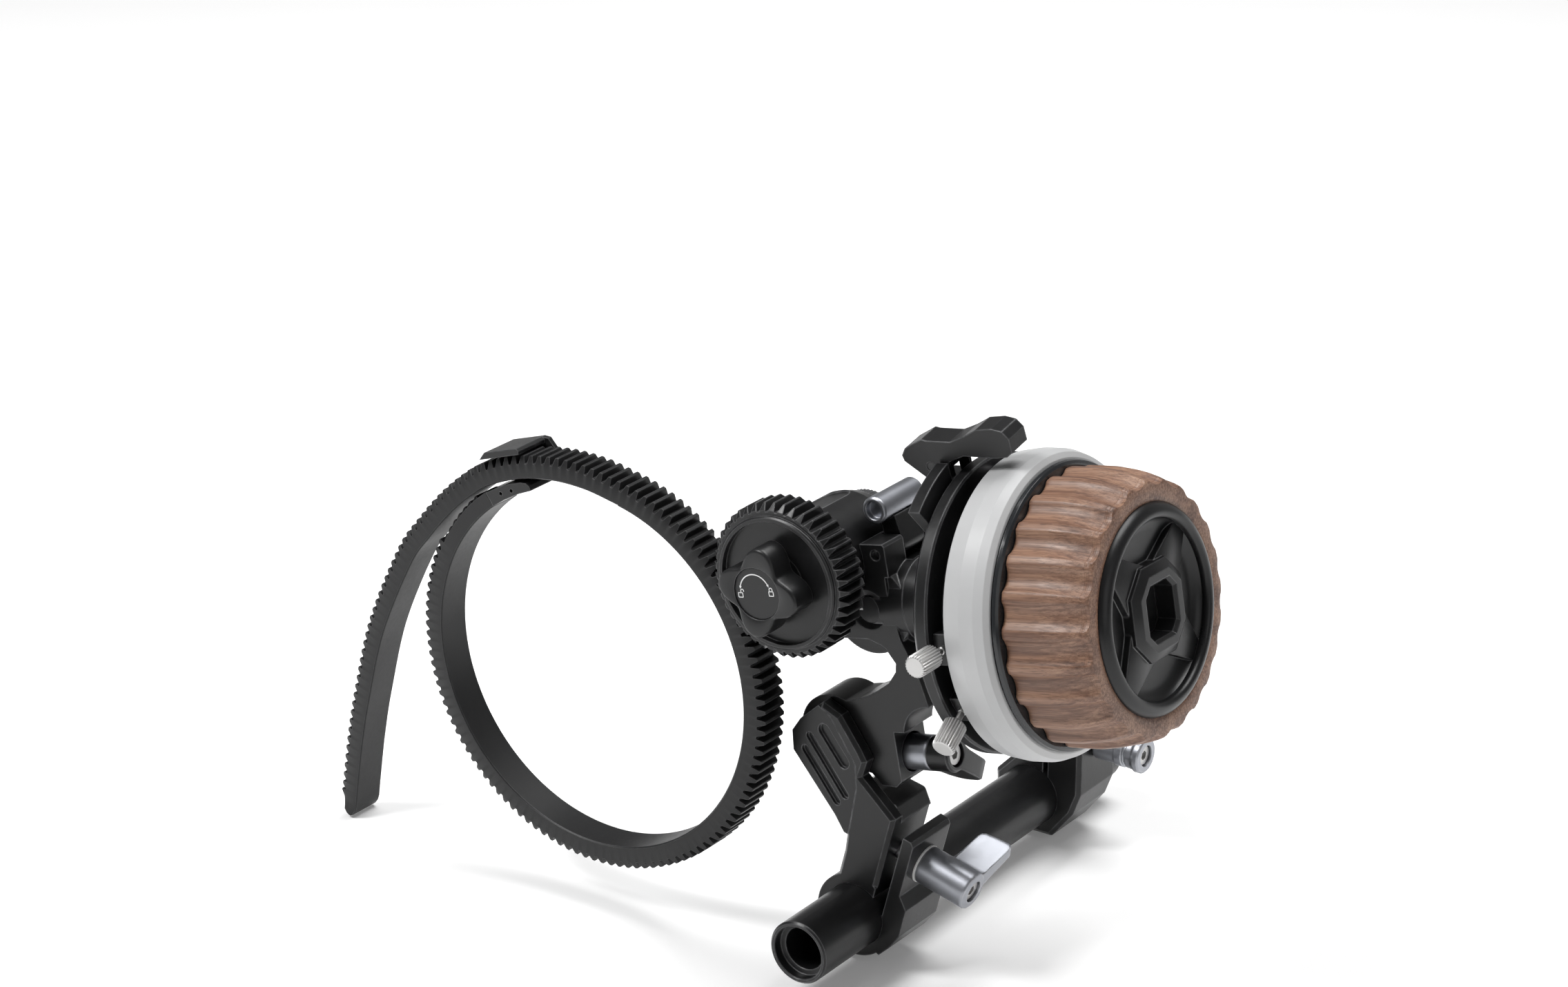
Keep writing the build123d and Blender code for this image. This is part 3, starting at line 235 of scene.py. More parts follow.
def edge_effect():
    """Slightly rounded edges: the rounded normal, and a patchy mask where it leaves the flat one, which lays
    a painted highlight along the edges.
    """
    group, given, out = effect(
        "edge_rounding_and_painted_highlight", {"Radius": 0.0003}, {"Normal": "NodeSocketVector", "Painted Highlight": "NodeSocketFloat"}
    )
    rounded = node(group, "ShaderNodeBevel", {"Radius": given.outputs["Radius"]}, samples=4)
    flat = node(group, "ShaderNodeNewGeometry")
    same = node(
        group,
        "ShaderNodeVectorMath",
        {0: rounded.outputs["Normal"], 1: flat.outputs["Normal"]},
        operation="DOT_PRODUCT",
    )
    turn = node(
        group,
        "ShaderNodeMapRange",
        {"Value": same.outputs["Value"], "From Min": 0.995, "From Max": 0.85, "To Min": 0.0, "To Max": 1.0},
    )
    where = node(group, "ShaderNodeTexCoord").outputs["Object"]
    # noise that makes the painted edge highlight patchy
    painted_glint = node(group, "ShaderNodeTexNoise", {"Vector": where, "Scale": 350.0, "Detail": 4.0})
    patchy = node(
        group,
        "ShaderNodeMapRange",
        {"Value": painted_glint.outputs["Fac"], "From Min": 0.3, "From Max": 0.7, "To Min": 0.35, "To Max": 1.0},
    )
    mask = node(
        group, "ShaderNodeMath", {0: turn.outputs[0], 1: patchy.outputs[0]}, operation="MULTIPLY"
    )
    link(group, rounded.outputs["Normal"], out.inputs["Normal"])
    link(group, mask.outputs[0], out.inputs["Painted Highlight"])
    return group


FINE_GRAIN = grain_effect()
# this group gives the rounded edge normal and the mask for a painted highlight along the edges
EDGE_ROUNDING_AND_HIGHLIGHT = edge_effect()


def blank(name):
    """New node material with only its surface shader and output."""
    made = bpy.data.materials.new(name)
    made.use_nodes = True
    tree = made.node_tree
    tree.nodes.clear()
    shader = tree.nodes.new("ShaderNodeBsdfPrincipled")
    out = tree.nodes.new("ShaderNodeOutputMaterial")
    link(tree, shader.outputs["BSDF"], out.inputs["Surface"])
    return made, tree, shader


def finish(
    name, dark, light, rough, spread=0.05, metal=0.0, gloss=0.5, grain=900.0, bump=0.02, edge=0.3, highlight_colour=None,
    painted_glint=0.5,
):
    """Hard finish: two close tones through fine grain, a painted highlight on the rounded edges and a slight
    uneven sheen. The bump's height and the edge's radius are in millimetres."""
    made, tree, shader = blank(name)
    grains = node(tree, "ShaderNodeGroup", node_tree=FINE_GRAIN)
    grains.inputs["Scale"].default_value = grain
    edges = node(tree, "ShaderNodeGroup", node_tree=EDGE_ROUNDING_AND_HIGHLIGHT)
    edges.inputs["Radius"].default_value = edge * MM
    tone = node(
        tree,
        "ShaderNodeMix",
        {0: grains.outputs["Tone"], 6: (*dark, 1), 7: (*light, 1)},
        data_type="RGBA",
    )
    # painted highlight: where an edge rounds over, the colour is lifted towards a bright edge colour that
    # stands in for light caught there
    highlight_amount = node(tree, "ShaderNodeMath", {0: edges.outputs["Painted Highlight"], 1: painted_glint}, operation="MULTIPLY")
    highlighted = node(
        tree,
        "ShaderNodeMix",
        {0: highlight_amount.outputs[0], 6: tone.outputs[2], 7: (*(highlight_colour or light), 1)},
        data_type="RGBA",
    )
    sheen = node(
        tree,
        "ShaderNodeMapRange",
        {"Value": grains.outputs["Tone"], "From Min": 0.3, "From Max": 0.7, "To Min": rough - spread,
         "To Max": rough + spread},
    )
    relief = node(
        tree,
        "ShaderNodeBump",
        {"Strength": 0.5, "Distance": bump * MM, "Height": grains.outputs["Height"],
         "Normal": edges.outputs["Normal"]},
    )
    link(tree, highlighted.outputs[2], shader.inputs["Base Color"])
    link(tree, sheen.outputs[0], shader.inputs["Roughness"])
    link(tree, relief.outputs["Normal"], shader.inputs["Normal"])
    shader.inputs["Metallic"].default_value = metal
    shader.inputs["Specular IOR Level"].default_value = gloss
    return made


def oiled_walnut():
    """Turned walnut: broad bands and fine lines that run along the wheel's axis, short dark pores and a satin
    oiled sheen."""
    made, tree, shader = blank("oiled_walnut")
    where = node(tree, "ShaderNodeTexCoord").outputs["Object"]
    axis = (0.0, -math.radians(HEAD_TILT), math.radians(1.0))

    def streaks(length, width, detail, wobble):
        """Noise drawn out along the grain: a streak's length and width in millimetres."""
        along = node(
            tree,
            "ShaderNodeMapping",
            {"Vector": where, "Rotation": axis, "Scale": (length * MM, width * MM, width * MM)},
            vector_type="TEXTURE",
        )
        return node(
            tree,
            "ShaderNodeTexNoise",
            {"Vector": along.outputs[0], "Scale": 1.0, "Detail": detail, "Roughness": 0.6,
             "Distortion": wobble},
        ).outputs["Fac"]

    bands = streaks(75, 4.5, 3.0, 0.5)
    lines = streaks(26, 0.55, 3.0, 0.2)
    pores = streaks(3.2, 0.16, 1.0, 0.0)
    mixed = node(tree, "ShaderNodeMix", {0: 0.5, 2: bands, 3: lines}, data_type="FLOAT")
    ramp = node(tree, "ShaderNodeValToRGB", {"Fac": mixed.outputs[0]})
    stops = ramp.color_ramp.elements
    stops[0].position, stops[0].color = 0.34, (0.075, 0.035, 0.022, 1)
    stops[1].position, stops[1].color = 0.68, (0.34, 0.205, 0.135, 1)
    for place, tint in ((0.46, (0.160, 0.082, 0.052, 1)), (0.54, (0.235, 0.130, 0.084, 1))):
        stops.new(place).color = tint
    dash = node(
        tree,
        "ShaderNodeMapRange",
        {"Value": pores, "From Min": 0.56, "From Max": 0.68, "To Min": 0.0, "To Max": 0.55},
    )
    wood = node(
        tree,
        "ShaderNodeMix",
        {0: dash.outputs[0], 6: ramp.outputs["Color"], 7: (0.045, 0.022, 0.014, 1)},
        data_type="RGBA",
    )
    sheen = node(
        tree,
        "ShaderNodeMapRange",
        {"Value": lines, "From Min": 0.3, "From Max": 0.7, "To Min": 0.5, "To Max": 0.38},
    )
    relief = node(tree, "ShaderNodeBump", {"Strength": 0.5, "Distance": 0.03 * MM, "Height": lines})
    link(tree, wood.outputs[2], shader.inputs["Base Color"])
    link(tree, sheen.outputs[0], shader.inputs["Roughness"])
    link(tree, relief.outputs["Normal"], shader.inputs["Normal"])
    shader.inputs["Specular IOR Level"].default_value = 0.5
    return made


# the edge colour given to each finish below is a painted highlight on its rounded edges
FINISHES = {
    "black_metal": finish("satin_black_anodising", (0.006, 0.006, 0.0065), (0.011, 0.011, 0.0115), 0.32,
                          gloss=0.36, edge=0.5, highlight_colour=(0.26, 0.262, 0.27), painted_glint=0.9),
    "grey_metal": finish("satin_grey_metal", (0.30, 0.31, 0.34), (0.38, 0.39, 0.42), 0.42, metal=1.0,
                         edge=0.5, highlight_colour=(0.75, 0.76, 0.78), painted_glint=0.8),
    "silver_metal": finish("bright_turned_metal", (0.46, 0.455, 0.45), (0.58, 0.575, 0.565), 0.42, metal=1.0,
                           edge=0.15, highlight_colour=(0.85, 0.85, 0.85), painted_glint=0.8),
    "steel": finish("ground_steel", (0.42, 0.42, 0.43), (0.6, 0.6, 0.61), 0.28, metal=1.0, edge=0.2,
                    highlight_colour=(0.8, 0.8, 0.8)),
    "bronze": finish("turned_bronze", (0.42, 0.27, 0.12), (0.6, 0.42, 0.2), 0.35, metal=1.0, edge=0.2),
    "black_plastic": finish("fine_black_plastic", (0.006, 0.006, 0.0065), (0.012, 0.012, 0.0125), 0.32,
                            gloss=0.36, grain=1400.0, bump=0.012, edge=0.4, highlight_colour=(0.2, 0.2, 0.205), painted_glint=0.8),
    "belt_rubber": finish("moulded_belt_rubber", (0.006, 0.006, 0.0065), (0.012, 0.012, 0.0125), 0.45,
                          spread=0.07, gloss=0.34, grain=1100.0, bump=0.03, edge=0.25,
                          highlight_colour=(0.16, 0.16, 0.163), painted_glint=0.7),
    "blackened_steel": finish("blackened_steel", (0.008, 0.008, 0.009), (0.016, 0.016, 0.017), 0.3, edge=0.2,
                              highlight_colour=(0.1, 0.1, 0.1)),
    "white_plastic": finish("satin_white_plastic", (0.43, 0.433, 0.436), (0.46, 0.463, 0.466), 0.36,
                            gloss=0.4, grain=700.0, bump=0.006, edge=0.3, highlight_colour=(0.56, 0.56, 0.56), painted_glint=0.3),
    "white_nylon": finish("white_nylon", (0.62, 0.62, 0.61), (0.72, 0.72, 0.71), 0.45, edge=0.2),
    "gloss_ring": finish("gloss_black_ring", (0.012, 0.013, 0.015), (0.02, 0.022, 0.024), 0.14, spread=0.03,
                         bump=0.003, edge=0.2, highlight_colour=(0.08, 0.085, 0.09), painted_glint=0.4),
    "walnut": oiled_walnut(),
}
WHITE_MARK = finish("printed_white", (0.6, 0.6, 0.6), (0.75, 0.75, 0.75), 0.5, bump=0.004, edge=0.02)


# ---------------------------------------------------------------- outlines


def inset(ring, distance):
    """Closed outline (counter-clockwise) pulled in by a distance: each corner moves along the bisector of its
    two edges, by the distance over the sine of the half angle."""
    before, after = ring - np.roll(ring, 1, 0), np.roll(ring, -1, 0) - ring
    before /= np.linalg.norm(before, axis=1, keepdims=True)
    after /= np.linalg.norm(after, axis=1, keepdims=True)
    left = np.stack([-before[:, 1], before[:, 0]], 1) + np.stack([-after[:, 1], after[:, 0]], 1)
    left /= np.linalg.norm(left, axis=1, keepdims=True)
    half = np.clip((left * np.stack([-before[:, 1], before[:, 0]], 1)).sum(1), 0.35, 1)
    return ring + left * (distance / half)[:, None]


def rounded(corners, radius, steps):
    """Closed outline with each corner replaced by a short curve: a quadratic arc from a point set back along
    one edge to a point set back along the next, by the radius or 0.45 of the shorter edge."""
    corners = np.array(corners, float)
    before, after = np.roll(corners, 1, 0) - corners, np.roll(corners, -1, 0) - corners
    room = 0.45 * np.minimum(np.linalg.norm(before, axis=1), np.linalg.norm(after, axis=1))
    back = np.minimum(radius, room)[:, None]
    start = corners + before / np.linalg.norm(before, axis=1, keepdims=True) * back
    end = corners + after / np.linalg.norm(after, axis=1, keepdims=True) * back
    t = np.linspace(0, 1, steps)[None, :, None]
    curve = start[:, None] * (1 - t) ** 2 + 2 * corners[:, None] * t * (1 - t) + end[:, None] * t**2
    return curve.reshape(-1, 2)


def eight_sided(half, cut, turn):
    """Square with cut corners, counter-clockwise, turned by an angle in degrees."""
    a, b = half, half - cut
    ring = np.array([(a, -b), (a, b), (b, a), (-b, a), (-a, b), (-a, -b), (-b, -a), (b, -a)], float)
    c, s = math.cos(math.radians(turn)), math.sin(math.radians(turn))
    return ring @ np.array([(c, s), (-s, c)])


def along_path(path, offsets):
    """Outline points set off sideways from an open path: the point plus the path's left normal times the
    offset."""
    run = np.gradient(path, axis=0)
    run /= np.linalg.norm(run, axis=1, keepdims=True)
    left = np.stack([-run[:, 1], run[:, 0]], 1)
    return path[:, None] + left[:, None] * np.array(offsets)[None, :, None]


# ---------------------------------------------------------------- hand wheel


def fluted_grip():
    """Turned walnut ring: the radius at a station and a turn is the smaller of the turned profile and a row
    of round hollows, each an arc whose lowest point lies a set depth under the profile. The arcs stop
    following the profile at the shoulder, so they run out through it and leave its edge scalloped. The ridge
    between two hollows is softened."""
    hollow_radius, hollow_depth, ridge_softness = 4.4, 1.3, 0.05
    shoulder_radius = 27.9
    outer = np.array(
        [(60.05, 29.6), (60.2, 30.15), (60.6, 30.4), (64, 30.4), (68.4, 30.3), (72.6, 29.75), (75.4, 29.15),
         (77.6, 28.5), (79.1, 27.95), (79.6, 27.75), (79.8, 27.3), (79.95, 25.5), (79.85, 23.8), (79.5, 22.9)]
    )
    run = np.concatenate([[0], np.cumsum(np.hypot(*np.diff(outer, axis=0).T))])
    even, at_back_edge, at_shoulder = np.linspace(0, 1, 64), [0.004, 0.012], np.linspace(0.745, 0.79, 8)
    t = run[-1] * np.sort(np.concatenate([even, at_back_edge, at_shoulder]))
    station, radius = np.interp(t, run, outer[:, 0]), np.interp(t, run, outer[:, 1])
    for _ in range(2):
        radius[1:-1] = (radius[:-2] + 2 * radius[1:-1] + radius[2:]) / 4
    turn = np.linspace(0, 2 * math.pi, FLUTES * 22, endpoint=False)
    across = np.mod(turn + math.pi / FLUTES, 2 * math.pi / FLUTES) - math.pi / FLUTES
    centre = np.maximum(radius, shoulder_radius)[:, None] + hollow_radius - hollow_depth
    side = centre * np.sin(across)
    hollow = centre * np.cos(across) - np.sqrt(np.clip(hollow_radius**2 - side**2, 0, None))
    shape = soft_min(radius[:, None] + 0 * hollow, hollow, ridge_softness)
    inner = np.array([(78.0, 22.7), (77.9, 24.9), (70.0, 24.92), (60.0, 24.92)])
    stations = np.concatenate([station, inner[:, 0]])[:, None]
    radii = np.vstack([shape, np.repeat(inner[:, 1:], turn.size, 1)])
    points = about_wheel(stations + 0 * radii, radii, turn[None, :])
    return smooth(skin("grip", points, round_u=True, round_v=True, flip=True), 40)


def turned_ring(name, profile, angle=30):
    """Ring round the wheel's axis: a closed profile of (station, radius) carried through a full turn."""
    profile = np.array(profile, float)
    turn = np.linspace(0, 2 * math.pi, 160, endpoint=False)
    points = about_wheel(profile[:, :1] + 0 * turn, profile[:, 1:] + 0 * turn, turn[None, :])
    return smooth(skin(name, points, round_u=True, round_v=True, flip=True), angle)


def on_wheel_face(name, rings, stations):
    """Boss or spoke on the wheel's front face: outlines of (y, z) about the axis, one at each station, joined
    by walls, with the first and the last one closed by a flat face."""
    rings = np.array(rings)
    stations = np.array(stations, float)[:, None]
    points = put(HEAD, stations + 0 * rings[..., 0], WHEEL_Y + rings[..., 0], -CROSS + rings[..., 1])
    return smooth(skin(name, points, round_v=True, flip=True, caps=(0, -1)), 25)


def wheel_front():
    """Dished cap: a dish with a rounded wall, four tapered raised spokes and a bevelled eight-sided boss with
    a deep eight-sided socket, each outline carried from one station along the axis to the next."""
    socket_turn = -2
    wall = np.radians(np.linspace(0, 90, 9))
    cove = np.stack([80.7 - 2.9 * np.sin(wall), 20.2 - 3.4 * (1 - np.cos(wall))], 1)
    dish = turned_ring("dish", [(75.7, 8.0), (75.7, 21.15), (80.5, 21.15), *cove, (77.8, 12.0), (77.75, 8.0)])
    parts = [dish]
    for quarter in range(4):
        a = math.radians(45 + 90 * quarter)
        ring = rounded([(20.4, -2.3), (20.4, 2.3), (7.5, 6.4), (7.5, -6.4)], 0.3, 3)
        spin = np.array([(math.cos(a), math.sin(a)), (-math.sin(a), math.cos(a))])
        steps = [ring, ring, inset(ring, 0.1), inset(ring, 0.35)]
        spun = [step @ spin for step in steps]
        parts.append(on_wheel_face(f"spoke_{quarter}", spun, (77.0, 79.1, 79.4, 79.5)))
    foot, top = eight_sided(10.45, 5.4, socket_turn), eight_sided(8.4, 4.2, socket_turn)
    mouth, hole = eight_sided(6.45, 2.4, socket_turn), eight_sided(5.85, 2.15, socket_turn)
    rings = [foot, foot, 0.96 * foot + 0.04 * top, 0.06 * foot + 0.94 * top, 0.97 * top + 0.03 * mouth,
             0.03 * top + 0.97 * mouth, mouth, hole, hole]
    stations = (76.2, 80.1, 80.42, 81.5, 81.6, 81.6, 81.52, 80.8, 69.8)
    parts.append(on_wheel_face("boss", rings, stations))
    return smooth(joined("cap", parts), 25)


def rim_bead():
    """Rounded black rim round the dish: an oval in a plane through the axis, worked out as two half widths
    times the cosine and the sine of a turn, leant over and carried round the wheel's axis."""
    half_long, half_short = 2.0, 1.45
    lean_along, lean_over = 0.65, 0.76
    station, radius = 79.75, 21.35
    oval_turn = np.linspace(0, 2 * math.pi, 40, endpoint=False)
    along, over = half_long * np.cos(oval_turn), -half_short * np.sin(oval_turn)
    stations = station + lean_along * along + lean_over * over
    radii = radius - lean_over * along + lean_along * over
    return turned_ring("rim_bead", np.stack([stations, radii], 1), angle=60)


BLACK = FINISHES["black_plastic"]
dressed(fluted_grip(), "wheel", "walnut", FINISHES["walnut"], "grip_ring")
dressed(wheel_front(), "wheel", "black_plastic", BLACK, "wheel_cap")
dressed(rim_bead(), "wheel", "black_plastic", BLACK, "cap_bead")


# ---------------------------------------------------------------- locking knob of the drive gear


def locking_knob():
    """Four-lobed knob on the drive gear's axis: round a turn the radius rises from the hollows to the lobes
    as a power of half of one plus the cosine of four times the turn. It is carried from the stem to a rounded
    front rim with a round seat for the disc."""
    hollow, rise, power = 6.9, 3.6, 0.85
    lobe_count, first_lobe = 4, math.radians(76)
    turn = np.linspace(0, 2 * math.pi, 240, endpoint=False)
    lobes = hollow + rise * ((1 + np.cos(lobe_count * (turn - first_lobe))) / 2) ** power
    # station, plain radius (0 where the lobes are), and how far the lobes are drawn in
    profile = np.array(
        [(7.5, 2.3, 0), (7.3, 2.5, 0), (-1.3, 2.5, 0), (-1.4, 0, 0.25), (-1.6, 0, 0), (-7.2, 0, 0),
         (-7.55, 0, 0.1), (-7.8, 0, 0.3), (-7.95, 0, 0.55), (-8.0, 0, 0.85), (-8.0, 6.05, 0),
         (-7.95, 5.97, 0), (-6.9, 5.95, 0)]
    )
    station, plain, drawn_in = profile[:, :1], profile[:, 1:2], profile[:, 2:]
    radii = np.where(plain > 0, plain, lobes[None, :] - drawn_in)
    points = about_gear(station + 0 * radii, radii, turn)
    return smooth(skin("locking_knob", points, round_v=True, flip=True, caps=(0, -1)), 40)


dressed(locking_knob(), "knob", "black_plastic", BLACK, "gear_knob")


# ---------------------------------------------------------------- stop screws and the barrel's knurled ring


def knurl(turn, teeth, depth):
    """Straight knurling: how far the radius falls between teeth, as a triangle wave of the turn whose crests
    are cut flat."""
    wave = np.abs(np.mod(turn * teeth / (2 * math.pi), 1) * 2 - 1)
    return depth * (1 - np.clip(wave * 1.5, 0, 1))


def stop_screw(name, angle):
    """Thumb screw on a stop block: a thin shank, then a knurled head. The profile gives a reach from the
    wheel's axis, a radius there and the share of the knurling, which is taken off the radius."""
    teeth, depth = 24, 0.36
    turn = np.linspace(0, 2 * math.pi, teeth * 8, endpoint=False)
    profile = np.array(
        [(28.5, 0.5, 0), (28.7, 0.9, 0), (31.6, 0.9, 0), (31.7, 0.72, 0), (34.4, 0.72, 0), (34.42, 1.9, 0),
         (34.75, 2.3, 0.3), (35.0, 2.6, 1), (41.3, 2.6, 1), (41.65, 2.35, 0.5), (41.8, 2.0, 0)]
    )
    radius = profile[:, 1:2] - profile[:, 2:] * knurl(turn, teeth, depth)[None, :]
    a = math.radians(angle)
    side, reach = radius * np.sin(turn), profile[:, :1]
    points = put(
        HEAD,
        STOP_STATION + radius * np.cos(turn),
        WHEEL_Y + reach * math.cos(a) - side * math.sin(a),
        -CROSS + reach * math.sin(a) + side * math.cos(a),
    )
    return smooth(skin(name, points, round_v=True, caps=(0, -1)), 20)


def knurled_collar():
    """Barrel end ring: a turned ring whose rim has straight knurling, taken off the radius. The profile gives
    a station, a radius there and the share of the knurling."""
    teeth, depth = 64, 0.22
    turn = np.linspace(0, 2 * math.pi, teeth * 5, endpoint=False)
    profile = np.array(
        [(36.3, 6.5, 0), (33.05, 6.5, 0), (33.05, 9.0, 0), (33.1, 9.5, 0.4), (33.5, 9.88, 1), (37.0, 9.88, 1),
         (37.35, 9.6, 0.6), (37.5, 9.1, 0), (37.5, 3.0, 0), (36.9, 2.4, 0), (36.9, 0.6, 0)]
    )
    radius = profile[:, 1:2] - profile[:, 2:] * knurl(turn, teeth, depth)[None, :]
    points = about_gear(profile[:, :1] + 0 * radius, radius, turn[None, :])
    return smooth(skin("barrel_collar", points, round_v=True, flip=True, caps=(0, -1)), 25)


for letter, angle in zip("ab", STOP_ANGLES):
    screw = stop_screw(f"thumb_screw_{letter}", angle)
    dressed(screw, f"stop_screw_{letter}", "silver_metal", FINISHES["silver_metal"], f"stop_screw_{letter}")
dressed(knurled_collar(), "barrel", "black_metal", FINISHES["black_metal"], "barrel_ring")


# ---------------------------------------------------------------- printed marks

# how far a printed line stands proud of its face, and how far it reaches into it
PRINT_RISE, PRINT_SINK = 0.03, 0.02


def front_strip(name, path, width, y, closed=False):
    """Thin printed line on a face that looks to the front: a flat strip laid along a path of (x, z)."""
    path = np.array(path, float)
    if closed:
        edge = np.stack([inset(path, -width / 2), inset(path, width / 2)], 1)
    else:
        edge = along_path(path, (width / 2, -width / 2))
    top = put(HEAD, edge[..., 0], y - PRINT_RISE, edge[..., 1])
    under = put(HEAD, edge[..., 0], y + PRINT_SINK, edge[..., 1])
    points = np.concatenate([top, under[:, ::-1]], 1)
    if closed:
        return skin(name, points, round_u=True, round_v=True)
    return skin(name, points, round_v=True, caps=(0, -1))


def arc(centre, radius, first, last, steps):
    """Points round a centre from one angle to another, in degrees."""
    a = np.radians(np.linspace(first, last, steps))
    return np.stack([centre[0] + radius * np.cos(a), centre[1] + radius * np.sin(a)], 1)


def padlock(name, x, z, shackle_shift, y, opened):
    """Small outline padlock: a square body, and a round-topped shackle on it, its foot lifted when opened."""
    line, half, bend = 0.2, 0.58, 0.38
    body_foot, body_top, lifted_foot, bend_height = 0.52, 0.5, 0.75, 0.95
    foot, top = z - body_foot, z + body_top
    body = rounded([(x - half, foot), (x + half, foot), (x + half, top), (x - half, top)], 0.12, 4)
    bow = arc((x + shackle_shift, z + bend_height), bend, 180, 0, 12)
    left = [(x + shackle_shift - bend, top)]
    right = [(x + shackle_shift + bend, z + (lifted_foot if opened else body_top))]
    shackle = np.concatenate([left, bow, right])
    return [
        front_strip(f"{name}_body", body, line, y, closed=True),
        front_strip(f"{name}_shackle", shackle, line, y),
    ]


def lock_marks():
    """Lock and unlock signs on the knob's disc: a double-headed arc between an open and a closed padlock."""
    face = -7.6
    centre, reach = (-0.45, 0.35), 4.0
    parts = [front_strip("turn_arc", arc(centre, reach, 162, 26, 40), 0.26, face)]
    for tip, heading in ((166, 256), (22, 292)):
        a, b = math.radians(tip), math.radians(heading)
        end = np.array([centre[0] + reach * math.cos(a), centre[1] + reach * math.sin(a)])
        ahead, side = np.array([math.cos(b), math.sin(b)]), np.array([-math.sin(b), math.cos(b)])
        heel, half = end - 0.3 * ahead, 0.32 * side
        head = rounded([end + 0.35 * ahead, heel + half, heel - half], 0.06, 3)
        top, under = (put(HEAD, head[:, 0], y, head[:, 1]) for y in (face - PRINT_RISE, face + PRINT_SINK))
        parts.append(skin(f"arrow_{tip}", np.stack([under, top]), round_v=True, caps=(0, -1), flip=True))
    parts += padlock("open", -4.55, -0.45, 0.55, face, True)
    parts += padlock("closed", 3.8, 0.1, 0.0, face, False)
    return joined("lock_marks", parts)


dressed(lock_marks(), "knob", "white_plastic", WHITE_MARK)
tick = front_strip("index_tick", [(8.35, -11.3), (8.9, -11.3), (9.5, -11.3)], 0.5, 16.5)
dressed(tick, "cross_shaft", "white_plastic", WHITE_MARK)


# ---------------------------------------------------------------- ratchet levers


def lever_place(place, start, wing):
    """Lever frame: x along its screw, z along its wing."""
    origin = put(place, *start) / MM
    return axes(origin, place[1][0], place[1][1] * wing[0] + place[1][2] * wing[1])


def lever(name, place, hub, bore, wing=(), half=1.6):
    """Hub and wing in one skin. Each row is a station: its columns run round the screw's axis, and the radius
    is the larger of the hub's and the wing plate's own outline, softened where they meet. The plate is a flat
    bar, slightly thinner towards its tip, with bevelled corners. The bore's rows close the skin from
    inside."""
    blend, tip_bevel, tip_taper, no_wing_thinner = 0.3, 0.55, 0.25, 0.35
    hub, bore = np.array(hub, float), np.array(bore, float)
    corners = [row[0] for row in wing]
    even = np.linspace(hub[0, 0], hub[-1, 0], 30)
    stations = np.unique(np.concatenate([hub[:, 0], corners, even]))
    radius = np.interp(stations, hub[:, 0], hub[:, 1])
    reach = np.zeros_like(stations)
    if len(wing):
        edge = np.array(wing, float)
        inside = (stations >= edge[0, 0]) & (stations <= edge[-1, 0])
        reach[inside] = np.interp(stations[inside], edge[:, 0], edge[:, 1])
    aim = np.maximum(reach, radius)[:, None]
    has_wing = reach[:, None] > 0.01
    thick = np.full_like(aim, half) - no_wing_thinner * ~has_wing
    share = np.linspace(0.02, 1, 16)
    side_z = np.minimum(share * aim, aim - 0.5)
    side_y = thick - tip_taper * share**3
    tip_y = np.linspace(-1, 1, 7)[None, :] * (thick - tip_bevel)
    ys = np.hstack([-side_y + 0 * side_z, tip_y, (side_y + 0 * side_z)[:, ::-1]])
    zs = np.hstack([side_z, aim + 0 * tip_y, side_z[:, ::-1]])
    plate_turn, plate_r = np.arctan2(ys, zs), np.hypot(ys, zs) * has_wing
    back = np.linspace(math.pi / 2, 1.5 * math.pi, 30)[None, 1:-1] + 0 * aim
    turn = np.hstack([plate_turn, back])
    solid = np.hstack([plate_r, 0 * back])
    rim = blend * np.logaddexp(radius[:, None] / blend, solid / blend)
    turns = np.vstack([turn, np.repeat(turn[-1:], len(bore), 0)])
    radii = np.vstack([rim, np.repeat(bore[:, 1:], turn.shape[1], 1)])
    xs = np.concatenate([stations, bore[:, 0]])[:, None]
    points = put(place, xs + 0 * radii, radii * np.sin(turns), radii * np.cos(turns))
    return smooth(skin(name, points, round_u=True, round_v=True), 32)


FRONT_LEVER = lever_place(ARM, (10.3, 19.75, 16.8), (0.966, 0.257))
REAR_LEVER = lever_place(BASE, (14.2, 96, 14.4), (-0.3, 0.954))
PIVOT_LEVER = lever_place(HEAD, (9.9, 22.3, -46.8), (0.8, -0.6))

front = lever(
    "front_lever_skin",
    FRONT_LEVER,
    [(0, 4.2), (0.3, 4.5), (12.5, 4.5), (12.9, 4.3), (13.2, 3.8)],
    [(13.2, 2.65), (7.0, 2.62), (7.0, 1.4), (6.05, 1.4), (6.05, 2.2), (0, 2.2)],
    [(4.6, 5.0), (4.65, 14.2), (4.85, 15.0), (5.6, 15.6), (8.5, 16.15), (11.4, 16.45), (12.1, 16.1),
     (12.6, 15.3), (12.65, 14.4), (12.68, 5.0)],
)
dressed(front, "front_lever", "grey_metal", FINISHES["grey_metal"], "front_lever")
rear = lever(
    "rear_lever_skin",
    REAR_LEVER,
    [(0, 3.4), (0.4, 3.7), (5.8, 3.7), (6.1, 4.0), (8.1, 4.0), (8.3, 3.4), (8.9, 3.4), (9.1, 3.9),
     (10.6, 4.0), (11.3, 4.4), (12.6, 4.4), (13.0, 4.0)],
    [(13.0, 2.65), (7.0, 2.62), (7.0, 1.4), (6.05, 1.4), (6.05, 2.2), (0, 2.2)],
    [(0.8, 5.6), (1.0, 6.9), (2.6, 12.0), (4.2, 13.5), (6.2, 13.6), (6.8, 12.6), (6.95, 6.0)],
    half=1.8,
)
dressed(rear, "rear_lever", "silver_metal", FINISHES["grey_metal"], "rear_lever")
